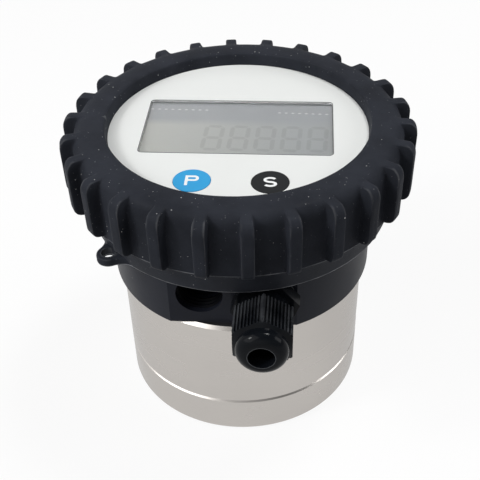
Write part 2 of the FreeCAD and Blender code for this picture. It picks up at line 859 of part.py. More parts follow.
def gland_body():
    body = new_body("gland_body")
    spigot = dim.entry_radius - dim.running_gap
    hex_end = dim.washer_thickness + dim.gland_hex_height
    neck_end = hex_end + dim.gland_neck
    seat = neck_end - dim.gland_seat
    revolve(body, "sleeve", [
        (dim.gland_bore, -dim.gland_spigot), (spigot, -dim.gland_spigot), (spigot, hex_end),
        (dim.gland_neck_radius, hex_end), (dim.gland_neck_radius, neck_end),
        (dim.gland_seat_radius, neck_end), (dim.gland_seat_radius, seat), (dim.gland_bore, seat),
    ])
    sketch = new_sketch(body, "hexagon_plan", "XY_Plane", dim.washer_thickness)
    bind(sketch, "AttachmentOffset.Rotation.Angle", dim.gland_hex_turn)
    add_outline(sketch, hex_corners(dim.gland_hex, 0.0))
    add_circle(sketch, 0, 0, dim.gland_bore)
    pad(body, "hexagon", sketch, dim.gland_hex_height)
    return face_forward(body)


def gland_seal():
    neck_end = dim.washer_thickness + dim.gland_hex_height + dim.gland_neck
    start = neck_end - dim.gland_seat + dim.stack_gap
    length = dim.gland_seat + dim.nut_throat / 2
    outside = dim.gland_seat_radius - dim.running_gap
    sleeve = cylinder("gland_seal_sleeve", outside, length, z=start)
    hole = cylinder("gland_seal_hole", dim.gland_hole, length, z=start)
    return face_forward(cut("gland_seal", sleeve, [hole]))


def gland_nut():
    body = new_body("gland_nut")
    front = dim.nut_start + dim.nut_length
    rim = front - dim.nut_dome_rise
    corner = dim.nut_hex / math.sqrt(3.0) + dim.flute_depth
    thread = dim.gland_neck_radius + dim.running_gap
    revolve(body, "blank", [
        (thread, dim.nut_start), (corner, dim.nut_start), (corner, rim - dim.nut_cone),
        (dim.nut_dome_radius, rim), (dim.nut_dome_radius, front, dim.nut_dome_round),
        (dim.gland_hole, front), (dim.gland_hole, front - dim.nut_throat),
        (thread, dim.nut_start + dim.nut_socket),
    ])
    sketch = new_sketch(body, "hexagon_plan", "XY_Plane", dim.nut_start)
    add_outline(sketch, hex_corners(dim.nut_hex))
    add_circle(sketch, 0, 0, corner + dim.flute_depth)
    pocket(body, "hexagon", sketch, dim.nut_length, back=True)
    flat = dim.nut_hex / 2
    sketch = new_sketch(body, "flute_plan", "XY_Plane", dim.nut_start)
    first = -(dim.flute_pitch * (dim.flute_count - 1) / 2)
    add_outline(sketch, box_corners(flat, first, 2 * dim.flute_depth, dim.flute_width))
    flute = pocket(body, "flute", sketch, dim.nut_length - dim.nut_dome_rise - dim.nut_cone / 2, back=True)
    row = body.newObject("PartDesign::LinearPattern", "gland_nut_flute_row")
    row.Direction = (origin(body, "Y_Axis"), [""])
    bind(row, "Length", dim.flute_pitch * (dim.flute_count - 1))
    bind(row, "Occurrences", dim.flute_count)
    turn = body.newObject("PartDesign::PolarPattern", "gland_nut_flute_turn")
    turn.Axis = (origin(body, "Z_Axis"), [""])
    turn.Angle = 360.0
    turn.Occurrences = 6
    flutes = body.newObject("PartDesign::MultiTransform", "gland_nut_flutes")
    flutes.Originals = [flute]
    flutes.Transformations = [row, turn]
    body.Tip = flutes
    doc.recompute()
    return face_forward(body)


# Bezel, facia and display

def display_bezel():
    body = new_body("display_bezel")
    spigot = housing_bore - dim.bezel_spigot_gap
    spigot_foot = bezel_seat - dim.bezel_spigot
    revolve(body, "plate", [
        (0, bezel_top), (0, bezel_seat), (spigot - dim.bezel_spigot_wall, bezel_seat),
        (spigot - dim.bezel_spigot_wall, spigot_foot), (spigot, spigot_foot), (spigot, bezel_seat),
        (flange_radius, bezel_seat), (flange_radius, bezel_top),
    ])
    sketch = new_sketch(body, "posts_plan", "XY_Plane", board_top)
    for x, y in BOARD_SCREWS:
        add_circle(sketch, x, y, dim.post_radius)
    pad(body, "posts", sketch, dim.board_drop + dim.bezel_thickness / 2)
    sketch = new_sketch(body, "lcd_plan", "XY_Plane", bezel_seat)
    add_outline(sketch, box_corners(*WINDOW, lcd_length + 2 * dim.key_gap, lcd_width + 2 * dim.key_gap))
    pocket(body, "lcd_pocket", sketch, dim.bezel_thickness - dim.window_ledge, back=True)
    sketch = new_sketch(body, "window_plan", "XY_Plane", bezel_seat)
    add_outline(sketch, box_corners(*WINDOW, window_length, dim.window_width, dim.window_round))
    pocket(body, "window_opening", sketch, dim.bezel_thickness, back=True)
    key_hole = dim.key_radius + dim.key_gap
    round_holes(body, "key_holes", KEYS, key_hole, bezel_seat, dim.bezel_thickness)
    head = dim.bezel_screw_head + dim.key_gap
    hole = dim.bezel_screw_radius + dim.key_gap
    round_holes(body, "screw_heads", BEZEL_SCREWS, head, bezel_top, dim.bezel_screw_head_height, back=False)
    round_holes(body, "screw_holes", BEZEL_SCREWS, hole, bezel_top, dim.bezel_thickness, back=False)
    bite = dim.board_drop
    round_holes(body, "post_threads", BOARD_SCREWS, dim.bezel_screw_radius + dim.press_gap, board_top, bite)
    return body


def bezel_gasket():
    hole = dim.bezel_screw_radius + dim.key_gap
    holes = [
        cylinder(f"bezel_gasket_hole_{i}", hole, dim.gasket_thickness, x, y, housing_top)
        for i, (x, y) in enumerate(BEZEL_SCREWS)
    ]
    holes.append(cylinder("bezel_gasket_bore", housing_bore, dim.gasket_thickness, z=housing_top))
    disc = cylinder("bezel_gasket_disc", flange_radius, dim.gasket_thickness, z=housing_top)
    return cut("bezel_gasket", disc, holes)


def facia_label():
    body = new_body("facia_label")
    sketch = new_sketch(body, "plan", "XY_Plane", bezel_top)
    add_circle(sketch, 0, 0, label_radius)
    add_outline(sketch, box_corners(*WINDOW, window_length, dim.window_width, dim.window_round))
    for x, y in KEYS:
        add_circle(sketch, x, y, dim.key_radius + dim.key_gap)
    pad(body, "sheet", sketch, dim.label_thickness)
    return body


def display_window():
    body = new_body("display_window")
    flange_foot_z = window_seat - dim.window_flange
    sketch = new_sketch(body, "flange_plan", "XY_Plane", flange_foot_z)
    add_outline(sketch, box_corners(*WINDOW, lcd_length, lcd_width))
    pad(body, "flange", sketch, dim.window_flange)
    pane_length = window_length - 2 * dim.stack_gap
    pane_width = dim.window_width - 2 * dim.stack_gap
    sketch = new_sketch(body, "pane_plan", "XY_Plane", flange_foot_z)
    add_outline(sketch, box_corners(*WINDOW, pane_length, pane_width, dim.window_round))
    pane_height = dim.window_flange + dim.window_ledge + dim.label_thickness - dim.window_sink
    pad(body, "pane", sketch, pane_height)
    return body


def display_stack():
    """The display glass under the window, and the frame that carries it on the board."""
    glass_top = window_seat - dim.window_flange - dim.stack_gap
    glass_foot = glass_top - dim.lcd_thickness
    frame_height = glass_foot - board_top - dim.stack_gap
    inner = 2 * dim.lcd_frame_wall
    frame = box("lcd_frame_block", lcd_length, lcd_width, frame_height, *WINDOW, board_top)
    space = box("lcd_frame_space", lcd_length - inner, lcd_width - inner, frame_height, *WINDOW, board_top)
    return [
        box("lcd_panel", lcd_length, lcd_width, dim.lcd_thickness, *WINDOW, glass_foot),
        cut("lcd_frame", frame, [space]),
    ]


def round_key(label, x):
    """A key cap with a flange that the bezel holds down, and a stem above its switch."""
    body = new_body(label)
    plunger_top = board_top + dim.switch_height + dim.plunger_height
    stem_foot = plunger_top + dim.key_travel + dim.key_gap
    flange_top = bezel_seat - dim.key_gap
    flange_foot_z = flange_top - dim.key_flange_height
    flange = dim.key_radius + dim.key_flange
    top = facia_top + dim.key_proud
    revolve(body, "cap", [
        (0, stem_foot), (dim.key_stem_radius, stem_foot), (dim.key_stem_radius, flange_foot_z),
        (flange, flange_foot_z), (flange, flange_top), (dim.key_radius, flange_top),
        (dim.key_radius, top), (0, top),
    ])
    return place(body, x, key_y, 0)


def key_switches():
    switches = []
    side = dim.switch_side
    for i, (x, y) in enumerate(KEYS):
        case = box(f"switch_case_{i}", side, side, dim.switch_height, x, y, board_top)
        height = dim.switch_height + dim.plunger_height
        plunger = cylinder(f"switch_plunger_{i}", dim.plunger_radius, height, x, y, board_top)
        switches.append(fuse(f"key_switch_{i}", [case, plunger]))
    return group("key_switches", switches)


# Board, supply and wiring inside the housing

def display_board():
    hole = dim.bezel_screw_radius + dim.key_gap
    disc = cylinder("display_board_disc", board_radius, dim.board_thickness, z=board_foot)
    return cut("display_board", disc, [
        cylinder(f"display_board_hole_{i}", hole, dim.board_thickness, x, y, board_foot)
        for i, (x, y) in enumerate(BOARD_SCREWS)
    ])


def battery_parts():
    side = FreeCAD.Vector(0, 1, 0)
    axis_z = board_foot - dim.cell_drop
    whole = dim.cell_length + dim.cell_nub
    start = -(whole / 2)
    channel = dim.cell_radius + dim.running_gap
    case_length = whole + 2 * (dim.holder_wall + dim.running_gap)
    case_width = 2 * (channel + dim.holder_wall)
    y = BOARD_SCREWS[0][1] - dim.bezel_screw_head - dim.holder_gap - case_width / 2
    case_foot = board_foot - dim.holder_depth
    case = box("battery_holder_case", case_length, case_width, dim.holder_depth, 0, y, case_foot)
    space = cylinder("battery_holder_channel", channel, whole + 2 * dim.running_gap,
                     start - dim.running_gap, y, axis_z, side, 90.0)
    can = cylinder("battery_cell_can", dim.cell_radius, dim.cell_length, start, y, axis_z, side, 90.0)
    nub = cylinder("battery_cell_nub", dim.cell_nub_radius, whole, start, y, axis_z, side, 90.0)
    return [cut("battery_holder", case, [space]), fuse("battery_cell", [can, nub])]


def terminal_block():
    foot = board_foot - dim.terminal_height
    y = -dim.terminal_setback
    length, width, height = dim.terminal_length, dim.terminal_width, dim.terminal_height
    block = box("terminal_block_case", length, width, height, 0, y, foot)
    ways = int(dim.terminal_ways.value)
    pitch = length / dim.terminal_ways
    front = y - width / 2
    side = FreeCAD.Vector(1, 0, 0)
    holes = []
    for i in range(ways):
        x = pitch * (i - (ways - 1) / 2)
        wire = (x, front, foot + height / 2, side, -90.0)
        holes.append(cylinder(f"terminal_wire_{i}", dim.terminal_hole, dim.terminal_hole_depth, *wire))
        holes.append(cylinder(f"terminal_screw_{i}", dim.terminal_hole, dim.terminal_hole / 2, x, y, foot))
    return cut("terminal_block", block, holes)


# Rubber boot

def rubber_boot():
    body = new_body("rubber_boot")
    hook = housing_radius + dim.boot_hook_gap
    hook_top = flange_foot - dim.boot_fit
    lip = label_radius + dim.boot_lip_gap
    lip_foot = bezel_top + dim.boot_fit
    revolve(body, "skin", [
        (hook, boot_foot), (band_radius, boot_foot, dim.band_round),
        (boot_outside - dim.band_step, band_top),
        (boot_outside, band_top), (boot_outside, boot_crest, dim.crest_round),
        (lip + dim.boot_lip_slope, boot_crest, dim.lip_round), (lip, lip_foot),
        (boot_bore, lip_foot), (boot_bore, hook_top), (hook, hook_top),
    ])
    root = boot_outside - dim.boot_wall / 2
    top_root = boot_outside - dim.crest_round
    rib_end = boot_outside + dim.rib_reach
    rib_foot = band_top + dim.rib_foot
    sketch = new_sketch(body, "rib_side", "XZ_Plane", -(dim.rib_width / 2))
    add_outline(sketch, [
        (root, rib_foot), (rib_end - dim.rib_taper, rib_foot, dim.rib_round),
        (rib_end, boot_crest - dim.rib_fall, dim.rib_round), (top_root, boot_crest - dim.boot_fit),
        (root, boot_crest - dim.crest_round),
    ])
    rib = pad(body, "rib", sketch, dim.rib_width)
    repeat_round(body, "ribs", [rib], dim.rib_count)
    eye_x = band_radius + dim.eye_reach
    sketch = new_sketch(body, "eye_plan", "XY_Plane", boot_foot)
    bind(sketch, "AttachmentOffset.Rotation.Angle", dim.eye_turn)
    add_eyelet(sketch, eye_x, band_radius - dim.eye_root)
    pad(body, "eye", sketch, dim.eye_thickness)
    sketch = new_sketch(body, "eye_hole_plan", "XY_Plane", boot_foot)
    bind(sketch, "AttachmentOffset.Rotation.Angle", dim.eye_turn)
    add_circle(sketch, -eye_x, 0, dim.eye_hole)
    pocket(body, "eye_hole", sketch, dim.eye_thickness, back=True)
    return body


def add_eyelet(sketch, eye_x, root):
    """A round eye on the sketch's -X side that runs into the band through two hollow blends."""
    band, eye, blend = band_radius.value, dim.eye_radius.value, dim.eye_blend.value
    x = eye_x.value
    blend_x = ((band + blend) ** 2 - (eye + blend) ** 2 + x ** 2) / (2 * x)
    blend_y = math.sqrt((band + blend) ** 2 - blend_x ** 2)
    at_eye = math.atan2(blend_y, blend_x - x)
    at_band = math.atan2(blend_y, blend_x)
    eye_circle = Part.Circle(FreeCAD.Vector(-x, 0, 0), UP, eye)
    end = sketch.addGeometry(Part.ArcOfCircle(eye_circle, math.pi - at_eye, math.pi + at_eye))
    rim = sketch.addGeometry(Part.Circle(FreeCAD.Vector(), UP, band), True)
    left_blend = Part.Circle(FreeCAD.Vector(-blend_x, -blend_y, 0), UP, blend)
    right_blend = Part.Circle(FreeCAD.Vector(-blend_x, blend_y, 0), UP, blend)
    left = sketch.addGeometry(Part.ArcOfCircle(left_blend, at_band, at_eye))
    right = sketch.addGeometry(Part.ArcOfCircle(right_blend, -at_eye, -at_band))
    left_end = sketch.Geometry[left].StartPoint
    right_end = sketch.Geometry[right].EndPoint
    left_root = FreeCAD.Vector(-root.value, left_end.y, 0)
    right_root = FreeCAD.Vector(-root.value, right_end.y, 0)
    top = sketch.addGeometry(Part.LineSegment(left_end, left_root))
    back = sketch.addGeometry(Part.LineSegment(left_root, right_root))
    bottom = sketch.addGeometry(Part.LineSegment(right_root, right_end))
    sketch.addConstraint(Sketcher.Constraint("Coincident", rim, 3, -1, 1))
    fix_radius(sketch, rim, band_radius)
    fix_point(sketch, end, 3, -eye_x, 0)
    fix_radius(sketch, end, dim.eye_radius)
    joins = ((left, 2, 1, 2, top, 1), (right, 1, 2, 1, bottom, 2))
    for arc, at_end, at_rim, on_end, line, on_line in joins:
        sketch.addConstraint(Sketcher.Constraint("Tangent", arc, at_end, end, on_end))
        sketch.addConstraint(Sketcher.Constraint("Tangent", arc, at_rim, rim))
        sketch.addConstraint(Sketcher.Constraint("Coincident", arc, at_rim, line, on_line))
        sketch.addConstraint(Sketcher.Constraint("Horizontal", line))
        fix_radius(sketch, arc, dim.eye_blend)
    sketch.addConstraint(Sketcher.Constraint("Coincident", top, 2, back, 1))
    sketch.addConstraint(Sketcher.Constraint("Coincident", back, 2, bottom, 1))
    sketch.addConstraint(Sketcher.Constraint("Vertical", back))
    fix_value(sketch, "DistanceX", back, 1, -root)


def board_screws():
    head = (dim.bezel_screw_head, dim.bezel_screw_head_height)
    shank = dim.board_thickness + dim.board_drop - dim.thread_runout
    radius = dim.bezel_screw_radius
    return screws("board_screws", BOARD_SCREWS, board_foot, radius, shank, *head, heads_up=False)


def bezel_screws():
    seat = bezel_top - dim.bezel_screw_head_height
    shank = seat - housing_top + dim.bezel_screw_bite
    head = (dim.bezel_screw_head, dim.bezel_screw_head_height)
    return screws("bezel_screws", BEZEL_SCREWS, seat, dim.bezel_screw_radius, shank, *head)


MAGNET_POCKETS = (-magnet_offset, magnet_offset)

pieces = [
    bottom_cover(), meter_body(), *base_seals_and_screws(),
    rotor("drive_rotor", drive_y, 90.0, MAGNET_POCKETS), rotor("idler_rotor", idler_y, 0.0),
    rotor_bush("drive_rotor_bush", drive_y), rotor_bush("idler_rotor_bush", idler_y),
    rotor_shaft("drive_shaft", drive_y), rotor_shaft("idler_shaft", idler_y), rotor_magnets(),
    *sensor_parts(), sensor_lead(),
    register_housing(), gland_washer(), gland_body(), gland_seal(), gland_nut(),
    display_bezel(), bezel_gasket(), bezel_screws(), facia_label(), display_window(), *display_stack(),
    round_key("program_key", -key_x), round_key("select_key", key_x), key_switches(),
    display_board(), board_screws(), *battery_parts(), terminal_block(),
    rubber_boot(),
]
doc.recompute()

for thing in doc.Objects:
    if "Invalid" in thing.State or "Error" in thing.State:
        raise RuntimeError(f"{thing.Label} failed: {thing.State}")
for piece in pieces:
    if piece.Shape.isNull() or not piece.Shape.isValid() or not piece.Shape.Solids:
        raise RuntimeError(f"{piece.Label} has no valid solid")

os.makedirs("parts", exist_ok=True)
for piece in pieces:
    piece.Shape.exportStep(os.path.join("parts", f"{piece.Label}.step"))
    print(piece.Label, len(piece.Shape.Solids), round(piece.Shape.Volume, 1))
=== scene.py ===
"""Dresses the packed oval gear flow meter: its boot, display, key letters, threads and finishes."""

import json
import math

import bpy
from mathutils import Matrix, Vector


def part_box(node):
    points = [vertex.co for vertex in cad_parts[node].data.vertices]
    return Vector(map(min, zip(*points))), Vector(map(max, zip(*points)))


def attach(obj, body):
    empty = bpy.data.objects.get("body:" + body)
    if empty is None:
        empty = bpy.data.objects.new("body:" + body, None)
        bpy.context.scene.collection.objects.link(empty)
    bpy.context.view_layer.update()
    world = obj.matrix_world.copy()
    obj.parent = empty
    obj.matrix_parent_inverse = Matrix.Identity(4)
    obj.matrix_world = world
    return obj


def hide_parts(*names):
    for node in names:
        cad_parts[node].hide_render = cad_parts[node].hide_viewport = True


bl_info = {
    "name": "Oval Gear Flow Meter",
    "version": (1, 0, 0),
    "blender": (4, 5, 0),
    "location": "3D View > Sidebar > Flow Meter",
    "description": "Models the boot and display of an oval gear flow meter and dresses its parts",
    "category": "Object",
}

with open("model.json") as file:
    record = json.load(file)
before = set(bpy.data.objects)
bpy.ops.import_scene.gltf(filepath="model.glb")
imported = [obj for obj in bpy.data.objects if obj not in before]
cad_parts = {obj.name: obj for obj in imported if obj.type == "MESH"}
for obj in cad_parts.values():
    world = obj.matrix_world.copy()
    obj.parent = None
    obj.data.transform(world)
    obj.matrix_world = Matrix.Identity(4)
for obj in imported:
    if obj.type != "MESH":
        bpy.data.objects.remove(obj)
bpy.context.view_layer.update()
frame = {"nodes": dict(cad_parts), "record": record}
NODES = frame["nodes"]
MM = 0.001
UM = 0.001 * MM

BOOT_LOW, BOOT_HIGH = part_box("rubber_boot")
FACIA_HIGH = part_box("facia_label")[1]
LCD_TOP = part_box("lcd_panel")[1].z
FLANGE_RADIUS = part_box("bezel_gasket")[1].y
WALL_GAP = 0.1 * MM
BEZEL_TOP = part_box("display_bezel")[1].z
NUT_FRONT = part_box("gland_nut")[0].y


def number(name, description, default, subtype, unit="NONE", **limits):
    return bpy.props.FloatProperty(
        name=name, description=description, default=default, subtype=subtype, unit=unit, **limits)


def length(name, description, millimetres):
    return number(name, description, millimetres * MM, "DISTANCE", "LENGTH", precision=5)


def turn(name, description, degrees):
    return number(name, description, math.radians(degrees), "ANGLE", "ROTATION")


def share(name, description, value):
    return number(name, description, value, "FACTOR", min=0.0, max=1.0)


def power(name, description, watts):
    return number(name, description, watts, "POWER", "POWER")


def colour(name, description, red, green, blue):
    return bpy.props.FloatVectorProperty(
        name=name, description=description, default=(red, green, blue),
        subtype="COLOR", min=0.0, max=1.0)


class FlowMeterBoot(bpy.types.PropertyGroup):
    """Sizes of the ribbed rubber boot"""
    rib_count: bpy.props.IntProperty(
        name="Ribs", description="Ribs round the boot", default=26, min=8)
    rib_turn: turn("Rib turn", "Turn of the ribs, clockwise from above", 0.25)
    rib_width: length("Rib width", "Width of a rib across its sides", 3.7)
    rib_reach: length("Rib reach", "Reach of a rib from the wall", 3.9)
    rib_foot: length("Rib foot", "Height of the ribs above the band", 0.75)
    rib_round: length("Rib round", "Rounding along a rib's sides and root", 0.8)
    wall: length("Wall", "Thickness of the rubber over the flange", 5.4)
    band_height: length("Band height", "Height of the plain band below the ribs", 8.7)
    band_step: length("Band step", "Reach of the wall over the band's top", 0.4)
    band_taper: length("Band taper", "How much wider the band is at its top", 2.6)
    bead: length("Bead", "Reach of the thin line at the wall's foot", 0.12)
    crest_round: length("Crest round", "Rounding of the upper outer edge", 4.0)
    lip_gap: length("Lip gap", "Gap between the boot's lip and the facia", 0.15)
    eye_angle: turn("Eyelet place", "Direction of the eyelet from the right side", -137.0)
    eye_reach: length("Eyelet reach", "Distance of the eyelet's hole from the band", 2.8)
    eye_radius: length("Eyelet radius", "Outside radius of the lanyard eyelet", 3.6)
    eye_hole: length("Eyelet hole", "Radius of the hole in the eyelet", 2.1)
    eye_thickness: length("Eyelet thickness", "Thickness of the eyelet", 2.9)

    @property
    def outside(self):
        """The radius of the wall between the ribs."""
        return FLANGE_RADIUS + WALL_GAP + self.wall

    @property
    def band(self):
        """The radius of the band's lower edge."""
        return self.outside - self.band_step - self.band_taper


class FlowMeterDisplay(bpy.types.PropertyGroup):
    """Sizes of what shows on the facia and the display"""
    window_length: length("Window length", "Length of the display window", 57.3)
    window_width: length("Window width", "Width of the display window", 29.8)
    window_shift: length("Window shift", "Shift behind the facia's middle", 0.6)
    window_round: length("Window corner", "Corner radius of the window", 1.2)
    border: length("Border", "Width of the grey line round the window", 0.28)
    digit_count: bpy.props.IntProperty(
        name="Digits", description="Large digits on the display", default=5, min=1)
    digit_height: length("Digit height", "Height of a large digit", 12.6)
    digit_width: length("Digit width", "Width of a large digit", 4.9)
    digit_pitch: length("Digit pitch", "Distance from one large digit to the next", 7.9)
    dash_length: length("Dash length", "Length of a dash in the upper rows", 1.15)
    dash_width: length("Dash width", "Width of a dash in the upper rows", 0.58)
    legend_height: length("Legend height", "Height of a key's letter", 4.7)
    legend_width: length("Legend width", "Width of a key's letter", 3.9)
    legend_stroke: length("Legend stroke", "Width of a letter's strokes", 0.84)


class FlowMeterFinish(bpy.types.PropertyGroup):
    """Colours of the finishes"""
    steel: colour("Steel", "Turned stainless steel", 0.575, 0.545, 0.515)
    rubber: colour("Rubber", "Boot rubber", 0.0205, 0.0225, 0.0285)
    housing: colour("Housing", "Moulded housing", 0.0107, 0.0121, 0.0184)
    gland: colour("Gland", "Cable gland", 0.0046, 0.0056, 0.0074)
    facia: colour("Facia", "Printed facia film", 0.80, 0.815, 0.80)
    lcd: colour("Display", "Display glass at rest", 0.64, 0.652, 0.612)
    blue_key: colour("Blue key", "Program key", 0.016, 0.325, 0.66)
    dark_key: colour("Dark key", "Select key", 0.007, 0.008, 0.0095)
    legend: colour("Legend", "Letters on the keys", 0.86, 0.87, 0.87)


class FlowMeterStage(bpy.types.PropertyGroup):
    """Camera and light"""
    azimuth: turn("Azimuth", "Camera's turn to the right of the front", 5.15)
    elevation: turn("Elevation", "Camera's height above the horizon", 39.24)
    roll: turn("Roll", "Camera's turn about its own axis", -1.82)
    distance: length("Distance", "Camera's distance from its target", 299.0)
    target: bpy.props.FloatVectorProperty(
        name="Target", description="Point that the camera looks at",
        default=(-0.498 * MM, -0.049 * MM, 48.92 * MM), subtype="TRANSLATION", unit="LENGTH")
    lens: number("Lens", "Focal length in millimetres", 66.756, "DISTANCE_CAMERA", "CAMERA")
    top_power: power("Top light", "Power of the overhead softbox", 4.7)
    side_power: power("Side light", "Power of the softbox on the left", 4.4)
    lamp_power: power("Small lamp", "Power of the small lamp on the left", 2.2)
    fill_power: power("Fill light", "Power of the softbox on the right", 2.2)
    ambient: share("Ambient", "Level of the even light from all round", 0.16)
    ceiling: share("Ceiling", "Level that gloss shows overhead", 0.22)
    right_side: share("Right side", "Level that gloss shows on the right", 0.35)
    floor: share("Floor", "Brightness that the floor keeps in shadow", 0.88)
    mirror_left: share("Mirrored left", "Floor's brightness in gloss on the left", 0.80)
    # Painted shade: the floor's gloss level on the right, standing in for its shadow there
    mirror_right_shade: share("Mirrored right", "Floor's brightness in gloss on the right", 0.644)


# Modelling by hand

SAME_POINT = 2 * UM
LEVEL = 10 * UM


def to_objects():
    if bpy.context.mode != "OBJECT":
        bpy.ops.object.mode_set(mode="OBJECT")
    bpy.ops.object.select_all(action="DESELECT")


def select_only(piece, *others):
    to_objects()
    for one in (piece, *others):
        one.select_set(True)
    bpy.context.view_layer.objects.active = piece


def edit(piece):
    select_only(piece)
    bpy.ops.object.mode_set(mode="EDIT")


def select_all():
    bpy.ops.mesh.select_all(action="SELECT")


def rename(piece, name):
    piece.name = name
    piece.data.name = name


def select_parts(piece, kind, chosen):
    """Selects the faces, edges or vertices of the piece in edit mode that the test chooses."""
    bpy.ops.mesh.select_mode(type=kind)
    bpy.ops.mesh.select_all(action="DESELECT")
    bpy.ops.object.mode_set(mode="OBJECT")
    points = piece.data.vertices
    places = {
        "FACE": [(face, [face.center]) for face in piece.data.polygons],
        "EDGE": [(edge, [points[end].co for end in edge.vertices]) for edge in piece.data.edges],
        "VERT": [(point, [point.co]) for point in points],
    }[kind]
    for part, place in places:
        part.select = chosen(*place)
    if not any(part.select for part, place in places):
        raise RuntimeError(f"nothing of {piece.name} is there to select")
    bpy.ops.object.mode_set(mode="EDIT")


def draw_line(name, points):
    """A new mesh in edit mode, drawn by extruding one vertex through the points."""
    to_objects()
    points = [Vector(point) for point in points]
    bpy.ops.mesh.primitive_plane_add(size=MM)
    piece = bpy.context.object
    rename(piece, name)
    bpy.ops.object.mode_set(mode="EDIT")
    bpy.ops.mesh.select_mode(type="VERT")
    select_all()
    bpy.ops.mesh.merge(type="CENTER")
    bpy.ops.transform.translate(value=points[0])
    for here, there in zip(points, points[1:]):
        bpy.ops.mesh.extrude_vertices_move(TRANSFORM_OT_translate={"value": there - here})
    return piece


def draw_plate(name, outline, height, thickness):
    """A flat plate with an outline of points in a plane, raised from the height."""
    piece = draw_line(name, [(x, y, height) for x, y in outline])
    select_all()
    bpy.ops.mesh.edge_face_add()
    bpy.ops.mesh.extrude_region_move(TRANSFORM_OT_translate={"value": (0, 0, thickness)})
    tidy_mesh()
    to_objects()
    return piece


def merge_points():
    select_all()
    bpy.ops.mesh.remove_doubles(threshold=SAME_POINT)


def tidy_mesh():
    merge_points()
    bpy.ops.mesh.normals_make_consistent()


def apply_modifier(piece, kind, **values):
    select_only(piece)
    bpy.ops.object.modifier_add(type=kind)
    modifier = piece.modifiers[-1]
    for name, value in values.items():
        setattr(modifier, name, value)
    bpy.ops.object.modifier_apply(modifier=modifier.name)


def apply_place(piece):
    """Moves the piece's place, turn and scale into its mesh."""
    select_only(piece)
    bpy.ops.object.transform_apply()


def join_solids(piece, tool, operation):
    """Joins or cuts the piece by another solid, which goes."""
    apply_modifier(piece, "BOOLEAN", operation=operation, object=tool, solver="EXACT")
    bpy.data.objects.remove(tool)


def copies(piece, offsets):
    """Copies of the piece, shifted in their meshes by the offsets, in its stead."""
    made = []
    for offset in offsets:
        select_only(piece)
        bpy.ops.object.duplicate()
        made.append(bpy.context.object)
        edit(made[-1])
        select_all()
        bpy.ops.transform.translate(value=offset)
    to_objects()
    bpy.data.objects.remove(piece)
    return made


def join_pieces(name, pieces):
    select_only(*pieces)
    bpy.ops.object.join()
    rename(pieces[0], name)
    return pieces[0]


def smooth(piece, degrees):
    select_only(piece)
    bpy.ops.object.shade_smooth_by_angle(angle=math.radians(degrees))


def settle(piece, finish, body="meter"):
    """Leaves the finished piece at the origin, and gives it its finish and body."""
    apply_place(piece)
    piece.data.materials.clear()
    piece.data.materials.append(finish_of(finish))
    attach(piece, body)


def dress(finish, *names):
    for name in names:
        for slot in NODES[name].material_slots:
            slot.material = finish_of(finish)


def beside(start, steps):
    """Points in a plane at steps in millimetres from a start."""
    return [(start[0] + x * MM, start[1] + y * MM) for x, y in steps]


def arc(centre, radius, start, end, steps):
    """Points in a plane along an arc, both ends included, angles in degrees."""
    angles = [math.radians(start + (end - start) * step / steps) for step in range(steps + 1)]
    return [
        (centre[0] + radius * math.cos(angle), centre[1] + radius * math.sin(angle))
        for angle in angles]


def rounded_box(centre, size, radius, steps=6):
    """Outline of a rectangle with round corners, as points in a plane."""
    half_x, half_y = size[0] / 2 - radius, size[1] / 2 - radius
    points = []
    for x, y, start in ((1, 1, 0), (-1, 1, 90), (-1, -1, 180), (1, -1, 270)):
        corner = (centre[0] + x * half_x, centre[1] + y * half_y)
        points += arc(corner, radius, start, start + 90, steps)
    return points


def mount_hole(name):
    """A mount's hole: its mouth, direction outwards, radius and depth."""
    mount = {one["name"]: one for one in frame["record"]["mounts"]}[name]
    out = Vector(mount["axis"])
    depth = mount["dims"]["length_mm"] * MM
    mouth = Vector(mount["pos_m"]) + out * depth / 2
    return mouth, out, mount["dims"]["r_mm"] * MM, depth


# Finishes

WHITE = (1.0, 1.0, 1.0)
# Partly dust, partly a painted highlight along the boot's raised edges
EDGE_DUST_AND_HIGHLIGHT = (0.22, 0.225, 0.235)
RIM_LINE_TINT = (0.32, 0.33, 0.35)
FINE_DUST = (0.22, 0.22, 0.23)
BOOT_SPECK = (0.6, 0.6, 0.6)
HOUSING_SPECK = (0.3, 0.3, 0.3)
FACIA_SPECK = (0.6, 0.6, 0.58)
# A painted highlight along the crests of the gland nut's flutes
FLUTE_HIGHLIGHT = (0.065, 0.069, 0.076)
BORE_RING_TINT = (0.11, 0.115, 0.125)
BOARD_TRACK = (0.05, 0.26, 0.10)

STEEL_EDGE = 0.86
ACRYLIC_IOR = 1.49
# The thin lighter lines round the boot: height above its foot and strength
BOOT_RIMS = ((0.5 * MM, 1.0), (8.85 * MM, 0.55))
BOOT_RIM_WIDTH = 0.24 * MM
# Behind the nut's front: where its flutes start and the lighter ring round its bore ends
FLUTE_START, RING_DEPTH = 5.0 * MM, 0.06 * MM
# How far from the bore that ring starts to fade, and ends
RING_START, RING_END = 0.1 * MM, 0.25 * MM
# The display's colour at its right and in its upper rows, against that at its left
LCD_RIGHT = (0.69, 0.72, 0.775)
LCD_UPPER = (0.62, 0.65, 0.74)
LCD_SEGMENT = 0.855
# Where its shade changes from left to right
LCD_ACROSS = (-24.0 * MM, 20.0 * MM)


